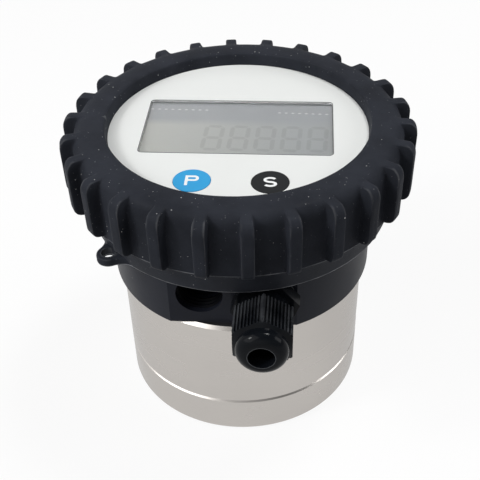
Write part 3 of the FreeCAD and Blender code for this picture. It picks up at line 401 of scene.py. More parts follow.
class Nodes:
    """A tree of shader nodes that is being built."""

    def __init__(self, tree):
        self.tree = tree

    def put(self, source, socket):
        """Links the socket from an output, or sets it to a plain value."""
        if isinstance(source, bpy.types.NodeSocket):
            self.tree.links.new(source, socket)
        else:
            socket.default_value = source

    def add(self, kind, inputs=None, **values):
        """The outputs of a new node."""
        node = self.tree.nodes.new(f"ShaderNode{kind}")
        for name, value in values.items():
            setattr(node, name, value)
        for name, source in (inputs or {}).items():
            self.put(source, node.inputs[name])
        return node.outputs

    def math(self, operation, first, second):
        return self.add("Math", {0: first, 1: second}, operation=operation)[0]

    def times(self, first, second):
        return self.math("MULTIPLY", first, second)

    def ramp(self, value, low, high, to_low=0.0, to_high=1.0):
        limits = {"From Min": low, "From Max": high, "To Min": to_low, "To Max": to_high}
        return self.add("MapRange", {"Value": value, **limits})["Result"]

    def noise(self, place, scale, detail=3.0, roughness=0.55):
        inputs = {"Vector": place, "Scale": scale, "Detail": detail, "Roughness": roughness}
        return self.add("TexNoise", inputs)["Fac"]

    def place(self):
        return self.add("TexCoord")["Object"]

    def axes(self, vector):
        return self.add("SeparateXYZ", {"Vector": vector})

    def group(self, name, **inputs):
        return self.add("Group", inputs, node_tree=bpy.data.node_groups[name])


class Group(Nodes):
    """A shader group with numbers in and out."""

    def __init__(self, name, outputs, **inputs):
        super().__init__(bpy.data.node_groups.new(name, "ShaderNodeTree"))
        new_socket = self.tree.interface.new_socket
        for label, value in inputs.items():
            socket = new_socket(label, in_out="INPUT", socket_type="NodeSocketFloat")
            socket.default_value = value
        for label in outputs:
            new_socket(label, in_out="OUTPUT", socket_type="NodeSocketFloat")
        self.given = self.tree.nodes.new("NodeGroupInput").outputs
        self.result = self.tree.nodes.new("NodeGroupOutput").inputs

    def give(self, label, value):
        self.put(value, self.result[label])


class Finish(Nodes):
    """A material with its plain values on the shader's own sockets."""

    def __init__(self, name, base, roughness, metallic=0.0, specular=0.5):
        material = bpy.data.materials.new(f"{name}_finish")
        material.use_nodes = True
        super().__init__(material.node_tree)
        self.shader = self.tree.nodes["Principled BSDF"]
        self.base = (*base, 1.0)
        self.set("Base Color", self.base)
        self.set("Roughness", roughness)
        self.set("Metallic", metallic)
        self.set("Specular IOR Level", specular)

    def set(self, label, value):
        self.put(value, self.shader.inputs[label])

    def tint(self, mask, other, strength=1.0):
        """Mixes another colour into the base colour so far, by the mask times the strength."""
        if strength != 1.0:
            mask = self.times(mask, strength)
        inputs = {"Factor": mask, "A": self.base, "B": (*other, 1.0)}
        self.base = self.add("Mix", inputs, data_type="RGBA")["Result"]
        self.set("Base Color", self.base)

    def dust(self, other, strength=1.0, **values):
        self.tint(self.group("Dust specks", **values)["Mask"], other, strength)

    def gloss(self, value, low, high):
        self.set("Roughness", self.ramp(value, 0.0, 1.0, low, high))

    def emboss(self, height, distance):
        inputs = {"Height": height, "Distance": distance}
        self.set("Normal", self.add("Bump", inputs)["Normal"])


def finish_of(name):
    """A finish made here, by its name."""
    return bpy.data.materials[f"{name}_finish"]


def scaled(base, *factors):
    """A colour times one factor, or times one for each channel."""
    factors = factors * 3 if len(factors) == 1 else factors
    return tuple(min(channel * factor, 1.0) for channel, factor in zip(base, factors))


def moulded(
        name, base, low, high, grain, patches=60.0, depth=30 * UM, specular=0.5, lighter=1.35):
    """A moulded finish: fine grain, and patches that vary the shade and the roughness."""
    finish = Finish(name, base, high, specular=specular)
    texture = finish.group("Moulded grain", Grain=grain, Patches=patches)
    finish.tint(texture["Patch"], scaled(base, lighter))
    finish.gloss(texture["Patch"], low, high)
    finish.emboss(texture["Height"], depth)
    return finish


def grain_group():
    """Fine moulded texture: a height for the bump and a slow patchiness for the gloss."""
    group = Group("Moulded grain", ["Height", "Patch"], Grain=2600.0, Patches=60.0)
    place = group.place()
    group.give("Height", group.noise(place, group.given["Grain"], 2.0))
    patches = group.noise(place, group.given["Patches"], 4.0)
    group.give("Patch", group.ramp(patches, 0.3, 0.7))


def dust_group():
    """Sparse specks of dust: one small dot in a few cells of a random pattern."""
    group = Group("Dust specks", ["Mask"], Cells=420.0, Share=0.05, Size=0.16)
    cells = group.add("TexVoronoi", {"Vector": group.place(), "Scale": group.given["Cells"]})
    random = group.add("SeparateColor", {"Color": cells["Color"]})
    chosen = group.math("LESS_THAN", random["Red"], group.given["Share"])
    size = group.times(group.given["Size"], group.ramp(random["Green"], 0.0, 1.0, 0.35, 1.0))
    dot = group.math("LESS_THAN", cells["Distance"], size)
    faint = group.times(dot, group.ramp(random["Blue"], 0.0, 1.0, 0.25, 1.0))
    group.give("Mask", group.times(chosen, faint))


def turned_group():
    """Fine lines left round a turned surface, and the slow streaks of its polish."""
    group = Group("Turned lines", ["Height", "Streak"], Lines=5200.0, Streaks=90.0)
    place = group.place()
    around = group.add("Mapping", {"Vector": place, "Scale": (0.02, 0.02, 1.0)})["Vector"]
    group.give("Height", group.noise(around, group.given["Lines"], 2.0))
    streaks = group.times(group.noise(around, group.given["Streaks"], 4.0), 0.6)
    patches = group.times(group.noise(place, 45.0), 0.4)
    group.give("Streak", group.ramp(group.math("ADD", streaks, patches), 0.3, 0.7))


def edge_group():
    """Where a moulded edge stands out: a mask for dust there and for a painted highlight along it.
    """
    group = Group("Raised edges", ["Mask"], Start=0.535, End=0.6)
    bend = group.add("NewGeometry")["Pointiness"]
    raised = group.ramp(bend, group.given["Start"], group.given["End"])
    broken = group.ramp(group.noise(group.place(), 160.0, 4.0), 0.35, 0.65)
    group.give("Mask", group.times(raised, broken))


def rim_group():
    """A thin line at one height round a piece, broken along its length."""
    group = Group("Worn rim", ["Mask"], Height=0.0, Width=0.16 * MM)
    place = group.place()
    rise = group.math("SUBTRACT", group.axes(place)["Z"], group.given["Height"])
    off = group.math("DIVIDE", group.math("ABSOLUTE", rise, 0.0), group.given["Width"])
    broken = group.ramp(group.noise(place, 130.0, 5.0, 0.6), 0.36, 0.62, 0.15, 1.0)
    group.give("Mask", group.times(group.ramp(off, 0.4, 1.0, 1.0, 0.0), broken))


def display_group():
    """How the display shades: warmer on its left, and darker above a soft step."""
    group = Group("Display shade", ["Across", "Upper"], Step=4.3 * MM, Softness=1.9 * MM)
    axes = group.axes(group.place())
    group.give("Across", group.ramp(axes["X"], *LCD_ACROSS))
    rise = group.math("SUBTRACT", axes["Y"], group.given["Step"])
    step = group.math("DIVIDE", rise, group.given["Softness"])
    group.give("Upper", group.ramp(step, -1.0, 1.0))


class FLOWMETER_OT_finishes(bpy.types.Operator):
    """Make the finishes that the pieces share"""
    bl_idname = "flow_meter.finishes"
    bl_label = "Finishes"

    def execute(self, context):
        colours = context.scene.flow_meter_finish
        grain_group()
        dust_group()
        turned_group()
        edge_group()
        rim_group()
        display_group()
        self.steel(colours.steel)
        self.rubber(colours.rubber)
        self.housing(colours.housing)
        self.gland(colours.gland)
        self.facia(colours.facia)
        self.display(colours.lcd)
        self.keys(colours)
        self.inner_works()
        return {"FINISHED"}

    def steel(self, base):
        finish = Finish("turned_steel", base, 0.3, metallic=1.0)
        finish.set("Specular Tint", (*scaled(WHITE, STEEL_EDGE), 1.0))
        lines = finish.group("Turned lines")
        finish.tint(lines["Streak"], scaled(base, 1.07))
        finish.gloss(lines["Streak"], 0.2, 0.32)
        finish.emboss(lines["Height"], 0.5 * UM)
        finish = Finish("screw_steel", scaled(base, 0.92), 0.32, metallic=1.0)
        lines = finish.group("Turned lines", Streaks=300.0)
        finish.gloss(lines["Streak"], 0.24, 0.42)
        finish.emboss(lines["Height"], 3 * UM)

    def rubber(self, base):
        finish = moulded(
            "boot_rubber", base, 0.42, 0.58, 1500.0,
            patches=75.0, depth=50 * UM, specular=0.025, lighter=1.6)
        # Lighter along the raised edges: partly dust, partly a painted highlight
        finish.tint(finish.group("Raised edges")["Mask"], EDGE_DUST_AND_HIGHLIGHT, 0.8)
        for height, strength in BOOT_RIMS:
            rim = finish.group("Worn rim", Height=BOOT_LOW.z + height, Width=BOOT_RIM_WIDTH)
            finish.tint(rim["Mask"], RIM_LINE_TINT, strength)
        finish.dust(FINE_DUST, 0.5, Cells=1100.0, Share=0.26, Size=0.2)
        finish.dust(BOOT_SPECK, Cells=480.0, Share=0.5, Size=0.1)
        moulded("seal_rubber", scaled(base, 0.9), 0.5, 0.6, 2500.0)
        # The gland's seal: the boot rubber lightened, a painted sheen for the light its inner
        # surface catches
        moulded("gland_rubber", scaled(base, 8.0), 0.5, 0.6, 2500.0)

    def housing(self, base):
        finish = moulded("housing_plastic", base, 0.34, 0.46, 2200.0, specular=0.11)
        finish.dust(HOUSING_SPECK, Cells=500.0, Share=0.012)
        # The cable entry's thread: the housing's colour darkened, painted shade for the dark inside
        # of the entry
        moulded("entry_dark", scaled(base, 0.17), 0.4, 0.5, 2200.0, specular=0.03)
        moulded("bezel_plastic", scaled(base, 0.75), 0.4, 0.52, 2400.0)

    def gland(self, base):
        """Glossy plastic, with a painted highlight along the nut's flutes and a lighter ring round
        the mouth of its bore.
        """
        finish = moulded("gland_plastic", base, 0.10, 0.18, 900.0, depth=6 * UM, specular=0.08)
        place = finish.place()
        along = finish.axes(place)["Y"]
        edges = finish.group("Raised edges", Start=0.51, End=0.6)
        fluted = finish.math("GREATER_THAN", along, NUT_FRONT + FLUTE_START)
        # A painted highlight along the crests of the nut's flutes
        finish.tint(edges["Mask"], FLUTE_HIGHLIGHT, fluted)
        bore, _, radius, _ = mount_hole("gland_cable_bore")
        ends = {0: place, 1: (bore.x, NUT_FRONT, bore.z)}
        reach = finish.add("VectorMath", ends, operation="DISTANCE")["Value"]
        # A lighter ring round the mouth of the nut's bore
        ring = finish.ramp(reach, radius + RING_START, radius + RING_END, 0.8, 0.0)
        front = finish.math("LESS_THAN", along, NUT_FRONT + RING_DEPTH)
        finish.tint(ring, BORE_RING_TINT, front)

    def facia(self, base):
        finish = moulded(
            "facia_white", base, 0.3, 0.42, 3600.0, patches=28.0, depth=8 * UM, lighter=1.03)
        finish.dust(FACIA_SPECK, Cells=300.0, Share=0.02, Size=0.08)
        # The grey line round the window: partly print, partly painted shade at the window's edge
        moulded("border_grey", (0.10, 0.104, 0.104), 0.35, 0.45, 3000.0, depth=6 * UM)

    def display(self, base):
        for name, level in (("lcd_grey", 1.0), ("segment_dark", LCD_SEGMENT)):
            warm = scaled(base, level)
            finish = Finish(name, warm, 0.4)
            shade = finish.group("Display shade")
            finish.tint(shade["Across"], scaled(warm, *LCD_RIGHT))
            finish.tint(shade["Upper"], scaled(warm, *LCD_UPPER), 0.85)
            texture = finish.group("Moulded grain", Grain=5000.0, Patches=40.0)
            finish.tint(texture["Patch"], scaled(warm, 0.85), 0.10)
            finish.gloss(texture["Patch"], 0.36, 0.5)
        light = (0.74, 0.755, 0.755)
        moulded("segment_light", light, 0.4, 0.5, 5000.0, depth=4 * UM, lighter=1.1)
        finish = Finish("window_clear", WHITE, 0.02)
        finish.set("IOR", ACRYLIC_IOR)
        finish.set("Transmission Weight", 1.0)
        texture = finish.group("Moulded grain", Grain=120.0, Patches=30.0)
        finish.gloss(texture["Patch"], 0.0, 0.05)

    def keys(self, colours):
        moulded("key_blue", colours.blue_key, 0.34, 0.44, 3200.0, depth=10 * UM, lighter=1.06)
        moulded(
            "key_grey", colours.dark_key, 0.34, 0.44, 3200.0,
            depth=10 * UM, specular=0.2, lighter=1.1)
        moulded("legend_white", colours.legend, 0.4, 0.48, 3000.0, depth=6 * UM, lighter=1.05)

    def inner_works(self):
        moulded("rotor_plastic", (0.055, 0.052, 0.048), 0.38, 0.5, 1800.0)
        moulded("bush_carbon", (0.02, 0.02, 0.021), 0.3, 0.45, 2600.0)
        moulded("chip_black", (0.012, 0.012, 0.013), 0.4, 0.55, 3200.0)
        moulded("terminal_plastic", (0.03, 0.20, 0.07), 0.35, 0.45, 2400.0)
        moulded("cell_sleeve", (0.10, 0.32, 0.13), 0.25, 0.35, 2600.0, depth=10 * UM)
        moulded("lead_sheath", (0.14, 0.14, 0.145), 0.4, 0.5, 2600.0)
        finish = Finish("magnet_nickel", (0.62, 0.58, 0.52), 0.22, metallic=1.0)
        texture = finish.group("Moulded grain", Grain=1500.0, Patches=400.0)
        finish.gloss(texture["Patch"], 0.16, 0.3)
        finish = moulded("circuit_board", (0.018, 0.12, 0.045), 0.3, 0.42, 3000.0)
        inputs = {"Vector": finish.place(), "Scale": 220.0, "Mortar Size": 0.03}
        finish.tint(finish.add("TexBrick", inputs)["Fac"], BOARD_TRACK, 0.5)


# Threads

THREAD_STEPS = 48
THREAD_SINK = 0.01 * MM
# A tooth's root against the pitch, and its crest against its root
THREAD_ROOT, THREAD_CREST = 0.84, 0.25


def cut_thread(name, mount, height, pitch, start):
    """The crests of a mount's thread, drawn as one tooth and wound inwards from the mouth."""
    mouth, out, radius, depth = mount_hole(mount)
    wall, half = radius - THREAD_SINK, pitch * THREAD_ROOT / 2
    crest, tip = wall - height, half * THREAD_CREST
    tooth = [(wall, -half), (crest, -tip), (crest, tip), (wall, half), (wall, -half)]
    piece = draw_line(name, [(x, 0, z + half) for x, z in tooth])
    merge_points()
    apply_modifier(
        piece, "SCREW", angle=math.tau, screw_offset=pitch, axis="Z",
        iterations=int((depth - start) / pitch) - 1, steps=THREAD_STEPS)
    edit(piece)
    bpy.ops.mesh.select_non_manifold(extend=False)
    bpy.ops.mesh.edge_face_add()
    tidy_mesh()
    to_objects()
    smooth(piece, 35)
    inwards = (-out).to_track_quat("Z", "Y").to_matrix().to_4x4()
    piece.matrix_world = Matrix.Translation(mouth - out * start) @ inwards
    return piece


class FLOWMETER_OT_steel_base(bpy.types.Operator):
    """Finish the turned steel base and cut the threads of its two ports"""
    bl_idname = "flow_meter.steel_base"
    bl_label = "Steel base"

    def execute(self, context):
        dress("turned_steel", "meter_body", "bottom_cover")
        dress("screw_steel", "cover_screws", "drive_shaft", "idler_shaft")
        dress("seal_rubber", "cover_o_ring")
        for name in ("inlet", "outlet"):
            thread = cut_thread(
                f"{name}_thread", f"{name}_port",
                height=0.5 * MM, pitch=1.34 * MM, start=0.9 * MM)
            settle(thread, "turned_steel")
        return {"FINISHED"}


class FLOWMETER_OT_housing(bpy.types.Operator):
    """Finish the register housing and cut the thread of its open cable entry"""
    bl_idname = "flow_meter.housing"
    bl_label = "Register housing"

    def execute(self, context):
        dress("housing_plastic", "register_housing")
        dress("bezel_plastic", "display_bezel", "lcd_frame", "battery_holder")
        dress("seal_rubber", "housing_o_ring", "bezel_gasket")
        dress("screw_steel", "housing_screws", "bezel_screws")
        thread = cut_thread(
            "entry_thread", "open_cable_entry",
            height=0.55 * MM, pitch=1.5 * MM, start=0.6 * MM)
        # Painted shade: the thread inside the entry is darkened
        settle(thread, "entry_dark")
        return {"FINISHED"}


class FLOWMETER_OT_gland(bpy.types.Operator):
    """Finish the cable gland"""
    bl_idname = "flow_meter.gland"
    bl_label = "Cable gland"

    def execute(self, context):
        dress("gland_plastic", "gland_body", "gland_nut")
        dress("seal_rubber", "gland_washer")
        # Painted sheen on the seal inside the gland
        dress("gland_rubber", "gland_seal")
        return {"FINISHED"}


# Points of the boot's section, in millimetres outwards and upwards from its corners

BAND_FOOT = ((-0.9, 0), (-0.1, 0.03), (0.2, 0.6), (0.6, 2.0))
BAND_TOP = ((-0.3, -1.0), (0, -0.15))
BEAD = ((0, 0), (0, 0.14))
WALL_FOOT = ((0, 0.3),)
RIB_FOOT = ((0, -0.15), (0, 0), (0, 1.0), (0, 3.0))
WALL_TOP = ((0, -7.0),)
LIP_TOP = ((1.5, 0), (0.6, 0), (0.35, -0.5))
LIP_FOOT = ((0, 0.9), (0, 0.1))

# How the rib's points move to round its ends: the outer and inner row of each pair
RIB_FOOT_MOVES = (((-0.15, 0.95), (-0.5, 0.6)), ((-0.85, 0.85), (-1.1, 0.15)))
RIB_TOP_MOVES = (((0.1, -0.05), (0, -0.2)), ((0.15, -0.1), (0, -0.05)))
# How near a chosen point lies to its place, outwards and upwards
NEAR = (0.3 * MM, 0.2 * MM)
SAME_RADIUS = 0.05 * MM
# A rib's reach in over the crest, against its rounding
RIB_ON_CREST = 0.55

BORE_GAP = 0.25 * MM
HOOK_REACH, HOOK_HEIGHT = 2.2 * MM, 1.5 * MM
EYE_BLEND, EYE_ROOT, EYE_ROUND, EYE_RISE = 6.0 * MM, 1.6 * MM, 0.7 * MM, 0.02 * MM
# How far inside the band its round edges start
EYE_EDGE = 0.5 * MM


class FLOWMETER_OT_rubber_boot(bpy.types.Operator):
    """Model the ribbed rubber boot with its lanyard eyelet"""
    bl_idname = "flow_meter.rubber_boot"
    bl_label = "Rubber boot"

    def execute(self, context):
        sizes = context.scene.flow_meter_boot
        boot = self.sector(sizes)
        self.rib(boot, sizes)
        self.repeat(boot, sizes)
        join_solids(boot, self.eyelet(sizes), "UNION")
        smooth(boot, 38)
        settle(boot, "boot_rubber")
        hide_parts("rubber_boot")
        return {"FINISHED"}

    def section(self, sizes):
        """The cross-section as radius and height, from the hook up the outside and back."""
        foot, crest = BOOT_LOW.z, BOOT_HIGH.z
        outside, band_top = sizes.outside, foot + sizes.band_height
        lip = FACIA_HIGH.y + sizes.lip_gap
        bore = FLANGE_RADIUS + BORE_GAP
        hook, hook_top = FLANGE_RADIUS - HOOK_REACH, foot + HOOK_HEIGHT
        return [
            (hook, foot),
            *beside((sizes.band, foot), BAND_FOOT),
            *beside((outside - sizes.band_step, band_top), BAND_TOP),
            *beside((outside + sizes.bead, band_top), BEAD),
            *beside((outside, band_top), WALL_FOOT),
            *beside((outside, band_top + sizes.rib_foot), RIB_FOOT),
            *beside((outside, crest), WALL_TOP),
            *self.crest_arc(sizes),
            *beside((lip, crest), LIP_TOP),
            *beside((lip, BEZEL_TOP), LIP_FOOT),
            *beside((bore, BEZEL_TOP), LIP_FOOT[1:]),
            (bore, hook_top), (hook, hook_top), (hook, foot),
        ]

    def crest_arc(self, sizes):
        """Points round the upper outer edge, set out as subdividing draws them in."""
        drawn_out = 1.04
        centre = (sizes.outside - sizes.crest_round, BOOT_HIGH.z - sizes.crest_round)
        return arc(centre, sizes.crest_round * drawn_out, 0, 90, 3)

    def sector(self, sizes):
        """One rib's share of the boot, with columns at the rib's root, sides and shoulders."""
        side = sizes.rib_width / 2
        widths = (side - sizes.rib_round, side, side + sizes.rib_round)
        marks = [*(width / sizes.outside for width in widths), math.pi / sizes.rib_count]
        columns = [-mark for mark in reversed(marks)] + marks
        across, along = math.cos(columns[0]), math.sin(columns[0])
        boot = draw_line("boot", [
            (radius * across, radius * along, height) for radius, height in self.section(sizes)])
        merge_points()
        for here, there in zip(columns, columns[1:]):
            bpy.ops.mesh.spin(steps=1, angle=here - there, axis=(0, 0, 1))
        return boot

    def rib(self, boot, sizes):
        """Draws the rib out of the wall in three steps, then rounds its ends."""
        outside = sizes.outside
        foot = BOOT_LOW.z + sizes.band_height + sizes.rib_foot
        turned = BOOT_HIGH.z - sizes.crest_round

        def on_rib(centre):
            on_wall = centre.x > outside - NEAR[0]
            on_crest = centre.z > turned and centre.x > outside - sizes.crest_round * RIB_ON_CREST
            within = abs(centre.y) < sizes.rib_width / 2 and centre.z > foot
            return within and (on_wall or on_crest)

        select_parts(boot, "FACE", on_rib)
        inner = sizes.rib_reach - sizes.rib_round
        for reach in (sizes.rib_round, inner - sizes.rib_round, sizes.rib_round):
            bpy.ops.mesh.extrude_region_move(TRANSFORM_OT_translate={"value": (reach, 0, 0)})
        rows = [(outside, foot + MM), (outside, foot), *self.crest_arc(sizes)[1:3]]
        for (x, z), moves in zip(rows, RIB_FOOT_MOVES + RIB_TOP_MOVES):
            for reach, (out, up) in zip((sizes.rib_reach, inner), moves):
                select_parts(boot, "VERT", lambda point: (
                    abs(point.x - x - reach) < NEAR[0] and abs(point.z - z) < NEAR[1]))
                bpy.ops.transform.translate(value=(out * MM, 0, up * MM))

    def repeat(self, boot, sizes):
        """Copies the sector all round, then softens it but for the corners of its bore."""
        pitch = math.tau / sizes.rib_count
        more = sizes.rib_count - 1
        select_all()
        bpy.ops.mesh.spin(steps=more, dupli=True, angle=pitch * more, axis=(0, 0, 1))
        tidy_mesh()

        def hidden_corner(first, second):
            near, far = sorted((first.xy.length, second.xy.length))
            inside = far < FLANGE_RADIUS + NEAR[0] and first.z < BEZEL_TOP + NEAR[1]
            return inside and far - near < SAME_RADIUS and abs(first.z - second.z) < LEVEL

        select_parts(boot, "EDGE", hidden_corner)
        bpy.ops.transform.edge_crease(value=1.0)
        apply_modifier(boot, "SUBSURF", levels=1)
        boot.rotation_euler.z = -sizes.rib_turn
        apply_place(boot)

    def eyelet(self, sizes):
        """The flat eye, blended into the band, drawn on +X and turned to its place."""
        band, blend = sizes.band, EYE_BLEND
        x = band + sizes.eye_reach
        blend_x = ((band + blend) ** 2 - (sizes.eye_radius + blend) ** 2 + x ** 2) / (2 * x)
        blend_y = math.sqrt((band + blend) ** 2 - blend_x ** 2)
        at_eye = math.degrees(math.atan2(blend_y, blend_x - x))
        at_band = math.degrees(math.atan2(blend_y, blend_x))
        outline = arc((blend_x, -blend_y), blend, 180 - at_band, 180 - at_eye, 8)
        outline += arc((x, 0), sizes.eye_radius, -at_eye, at_eye, 28)[1:-1]
        outline += arc((blend_x, blend_y), blend, 180 + at_eye, 180 + at_band, 8)
        root = band - EYE_ROOT
        outline += [(root, outline[-1][1]), (root, outline[0][1])]
        foot = BOOT_LOW.z + EYE_RISE
        eye = draw_plate("eyelet", outline, foot, sizes.eye_thickness)
        edit(eye)
        select_parts(eye, "EDGE", lambda first, second: (
            abs(first.z - second.z) < LEVEL and min(first.x, second.x) > band - EYE_EDGE))
        bpy.ops.mesh.bevel(offset=EYE_ROUND, segments=3)
        to_objects()
        bpy.ops.mesh.primitive_cylinder_add(
            vertices=32, radius=sizes.eye_hole, depth=3 * sizes.eye_thickness,
            location=(x, 0, foot + sizes.eye_thickness / 2))
        join_solids(eye, bpy.context.object, "DIFFERENCE")
        eye.rotation_euler.z = sizes.eye_angle
        apply_place(eye)
        return eye


# Print on the facia and display: how far it is sunk or raised, and how thick

BORDER_SINK, BORDER_THICKNESS = 0.01 * MM, 0.04 * MM
DIGIT_RISE, DASH_RISE, SEGMENT_THICKNESS = 0.012 * MM, 0.014 * MM, 0.008 * MM
LEGEND_SINK, LEGEND_THICKNESS = 0.025 * MM, 0.05 * MM
# The radius of the bow of the P, against its height
LEGEND_BOW = 0.19

DIGIT_STROKE, DIGIT_GAP = 1.35 * MM, 0.5 * MM
DIGIT_SLANT = math.radians(6)
LAST_DIGIT = (24.2 * MM, -4.4 * MM, 0)
# The rows of dashes: number, first and last place in millimetres
DASH_ROWS = ((9, (-28.0, 11.65), (-10.75, 11.4)), (8, (12.25, 10.4), (26.95, 9.9)))


class FLOWMETER_OT_facia(bpy.types.Operator):
    """Finish the facia and model the window's border and the display's segments"""
    bl_idname = "flow_meter.facia"
    bl_label = "Facia and display"

    def execute(self, context):
        sizes = context.scene.flow_meter_display
        dress("facia_white", "facia_label")
        dress("window_clear", "display_window")
        dress("lcd_grey", "lcd_panel")
        self.border(sizes)
        self.digits(sizes)
        self.dashes(sizes)
        return {"FINISHED"}

    # The grey line round the window: partly print, partly painted shade at the window's edge
    def border(self, sizes):
        centre = (0.0, sizes.window_shift)
        window = (sizes.window_length, sizes.window_width)
        outer = [side + 2 * sizes.border for side in window]
        height = FACIA_HIGH.z - BORDER_SINK
        edge = rounded_box(centre, outer, sizes.window_round + sizes.border)
        ring = draw_plate("window_border", edge, height, BORDER_THICKNESS)
        opening = rounded_box(centre, window, sizes.window_round)
        hole = draw_plate("hole", opening, height - MM, 3 * MM)
        join_solids(ring, hole, "DIFFERENCE")
        settle(ring, "border_grey")

    def segment(self, name, long, wide, height):
        """One flat segment with pointed ends, lying along X."""
        end, point = long / 2, wide / 2
        outline = [
            (-end, 0), (-end + point, -point), (end - point, -point),
            (end, 0), (end - point, point), (-end + point, point),
        ]
        return draw_plate(name, outline, height, SEGMENT_THICKNESS)

    def digits(self, sizes):
        """The faint figures of eight of a display at rest, modelled once and copied."""
        wide, high = sizes.digit_width, sizes.digit_height
        height = LCD_TOP + DIGIT_RISE
        flat = self.segment("flat", wide - DIGIT_GAP, DIGIT_STROKE, height)
        upright = self.segment("upright", high / 2 - DIGIT_GAP, DIGIT_STROKE, height)
        upright.rotation_euler.z = math.pi / 2
        apply_place(upright)
        strokes = copies(flat, [(0, y * high, 0) for y in (-0.5, 0, 0.5)])
        corners = [(x * wide, y * high, 0) for x in (-0.5, 0.5) for y in (-0.25, 0.25)]
        eight = join_pieces("eight", strokes + copies(upright, corners))
        slant = Matrix.Identity(4)
        slant[0][1] = math.tan(DIGIT_SLANT)
        eight.matrix_world = Matrix.Translation(LAST_DIGIT) @ slant
        apply_place(eight)
        places = [(-place * sizes.digit_pitch, 0, 0) for place in range(sizes.digit_count)]
        row = join_pieces("display_digits", copies(eight, places))
        settle(row, "segment_dark")

    def dashes(self, sizes):
        """The two rows of light dashes above the digits."""
        dash = self.segment("dash", sizes.dash_length, sizes.dash_width, LCD_TOP + DASH_RISE)
        places = [
            Vector(start).lerp(Vector(end), place / (count - 1)).to_3d() * MM
            for count, start, end in DASH_ROWS for place in range(count)]
        settle(join_pieces("display_dashes", copies(dash, places)), "segment_light")


class FLOWMETER_OT_keys(bpy.types.Operator):
    """Finish the two round keys and put their letters on"""
    bl_idname = "flow_meter.keys"
    bl_label = "Keys"

    def execute(self, context):
        dress("key_blue", "program_key")
        dress("key_grey", "select_key")
        for node, letter in (("program_key", "P"), ("select_key", "S")):
            self.legend(node, letter, context.scene.flow_meter_display)
        return {"FINISHED"}

    def legend(self, node, letter, sizes):
        """The key's letter, standing a little out of its top."""
        paths = self.letter_paths(letter, sizes)
        low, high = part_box(node)
        piece, *others = [self.stroke(path, sizes.legend_stroke) for path in paths]
        for other in others:
            join_solids(piece, other, "UNION")
        rename(piece, f"{node}_legend")
        piece.location = ((low.x + high.x) / 2, (low.y + high.y) / 2, high.z - LEGEND_SINK)
        settle(piece, "legend_white", node)

    def letter_paths(self, letter, sizes):
        """The middle lines of a letter's strokes, about the letter's own middle."""
        half_x = (sizes.legend_width - sizes.legend_stroke) / 2
        half_y = (sizes.legend_height - sizes.legend_stroke) / 2
        if letter == "S":
            bow = half_y / 2
            upper = [(x * half_x, bow + y * bow) for x, y in arc((0, 0), 1.0, 30, 270, 20)]
            lower = [(x * half_x, y * bow - bow) for x, y in arc((0, 0), 1.0, 90, -150, 20)]
            return [upper + lower[1:]]
        end = sizes.legend_stroke / 2
        bow = sizes.legend_height * LEGEND_BOW
        bowl = arc((half_x - bow, half_y - bow), bow, 90, -90, 16)
        stem = [(-half_x, -half_y - end), (-half_x, half_y + end)]
        return [stem, [(-half_x, half_y), *bowl, (-half_x, half_y - 2 * bow)]]

    def stroke(self, path, width):
        """A flat stroke of one width along a path."""
        points = [Vector(point) for point in path]
        sides = []
        for place, point in enumerate(points):
            along = points[min(place + 1, len(points) - 1)] - points[max(place - 1, 0)]
            sides.append((point, Vector((-along.y, along.x)).normalized() * width / 2))
        outline = [point + across for point, across in sides]
        outline += [point - across for point, across in reversed(sides)]
        return draw_plate("stroke", outline, 0.0, LEGEND_THICKNESS)


class FLOWMETER_OT_inner_works(bpy.types.Operator):
    """Finish the pieces inside the meter"""
    bl_idname = "flow_meter.inner_works"
    bl_label = "Inner works"

    def execute(self, context):
        dress("rotor_plastic", "drive_rotor", "idler_rotor")
        dress("bush_carbon", "drive_rotor_bush", "idler_rotor_bush")
        dress("magnet_nickel", "rotor_magnets")
        dress("circuit_board", "sensor_board", "display_board")
        dress("chip_black", "sensor_chips", "key_switches")
        dress("screw_steel", "sensor_screws", "board_screws")
        dress("lead_sheath", "sensor_lead")
        dress("terminal_plastic", "terminal_block")
        dress("cell_sleeve", "battery_cell")
        return {"FINISHED"}


# The lamps: name, place, size and the setting with its power

LAMPS = (
    ("top_softbox", (0.32, 0.20, 1.05), 0.24, "top_power"),
    ("left_softbox", (-0.66, -0.42, 0.70), 0.9, "side_power"),
    ("left_lamp", (-0.62, -0.30, 0.64), 0.16, "lamp_power"),
    ("right_softbox", (0.90, 0.0, 0.50), 0.5, "fill_power"),
)
LAMP_AIM = Vector((0, 0, 0.05))
FLOOR_SIZE = 12.0
# The floor's colour as it lights the part, and as it is seen
FLOOR_GREY, FLOOR_WHITE = (0.48, 0.48, 0.48), (0.95, 0.95, 0.95)
# Half the width over which the floor's brightness in gloss changes
MIRROR_REACH = 60.0 * MM
# Where the backdrop darkens in gloss, upwards and to the right
CEILING_RAMP, RIGHT_RAMP = (0.45, 0.8), (-0.1, 0.5)
SENSOR_WIDTH = 36.0
CLIP_START = 0.01


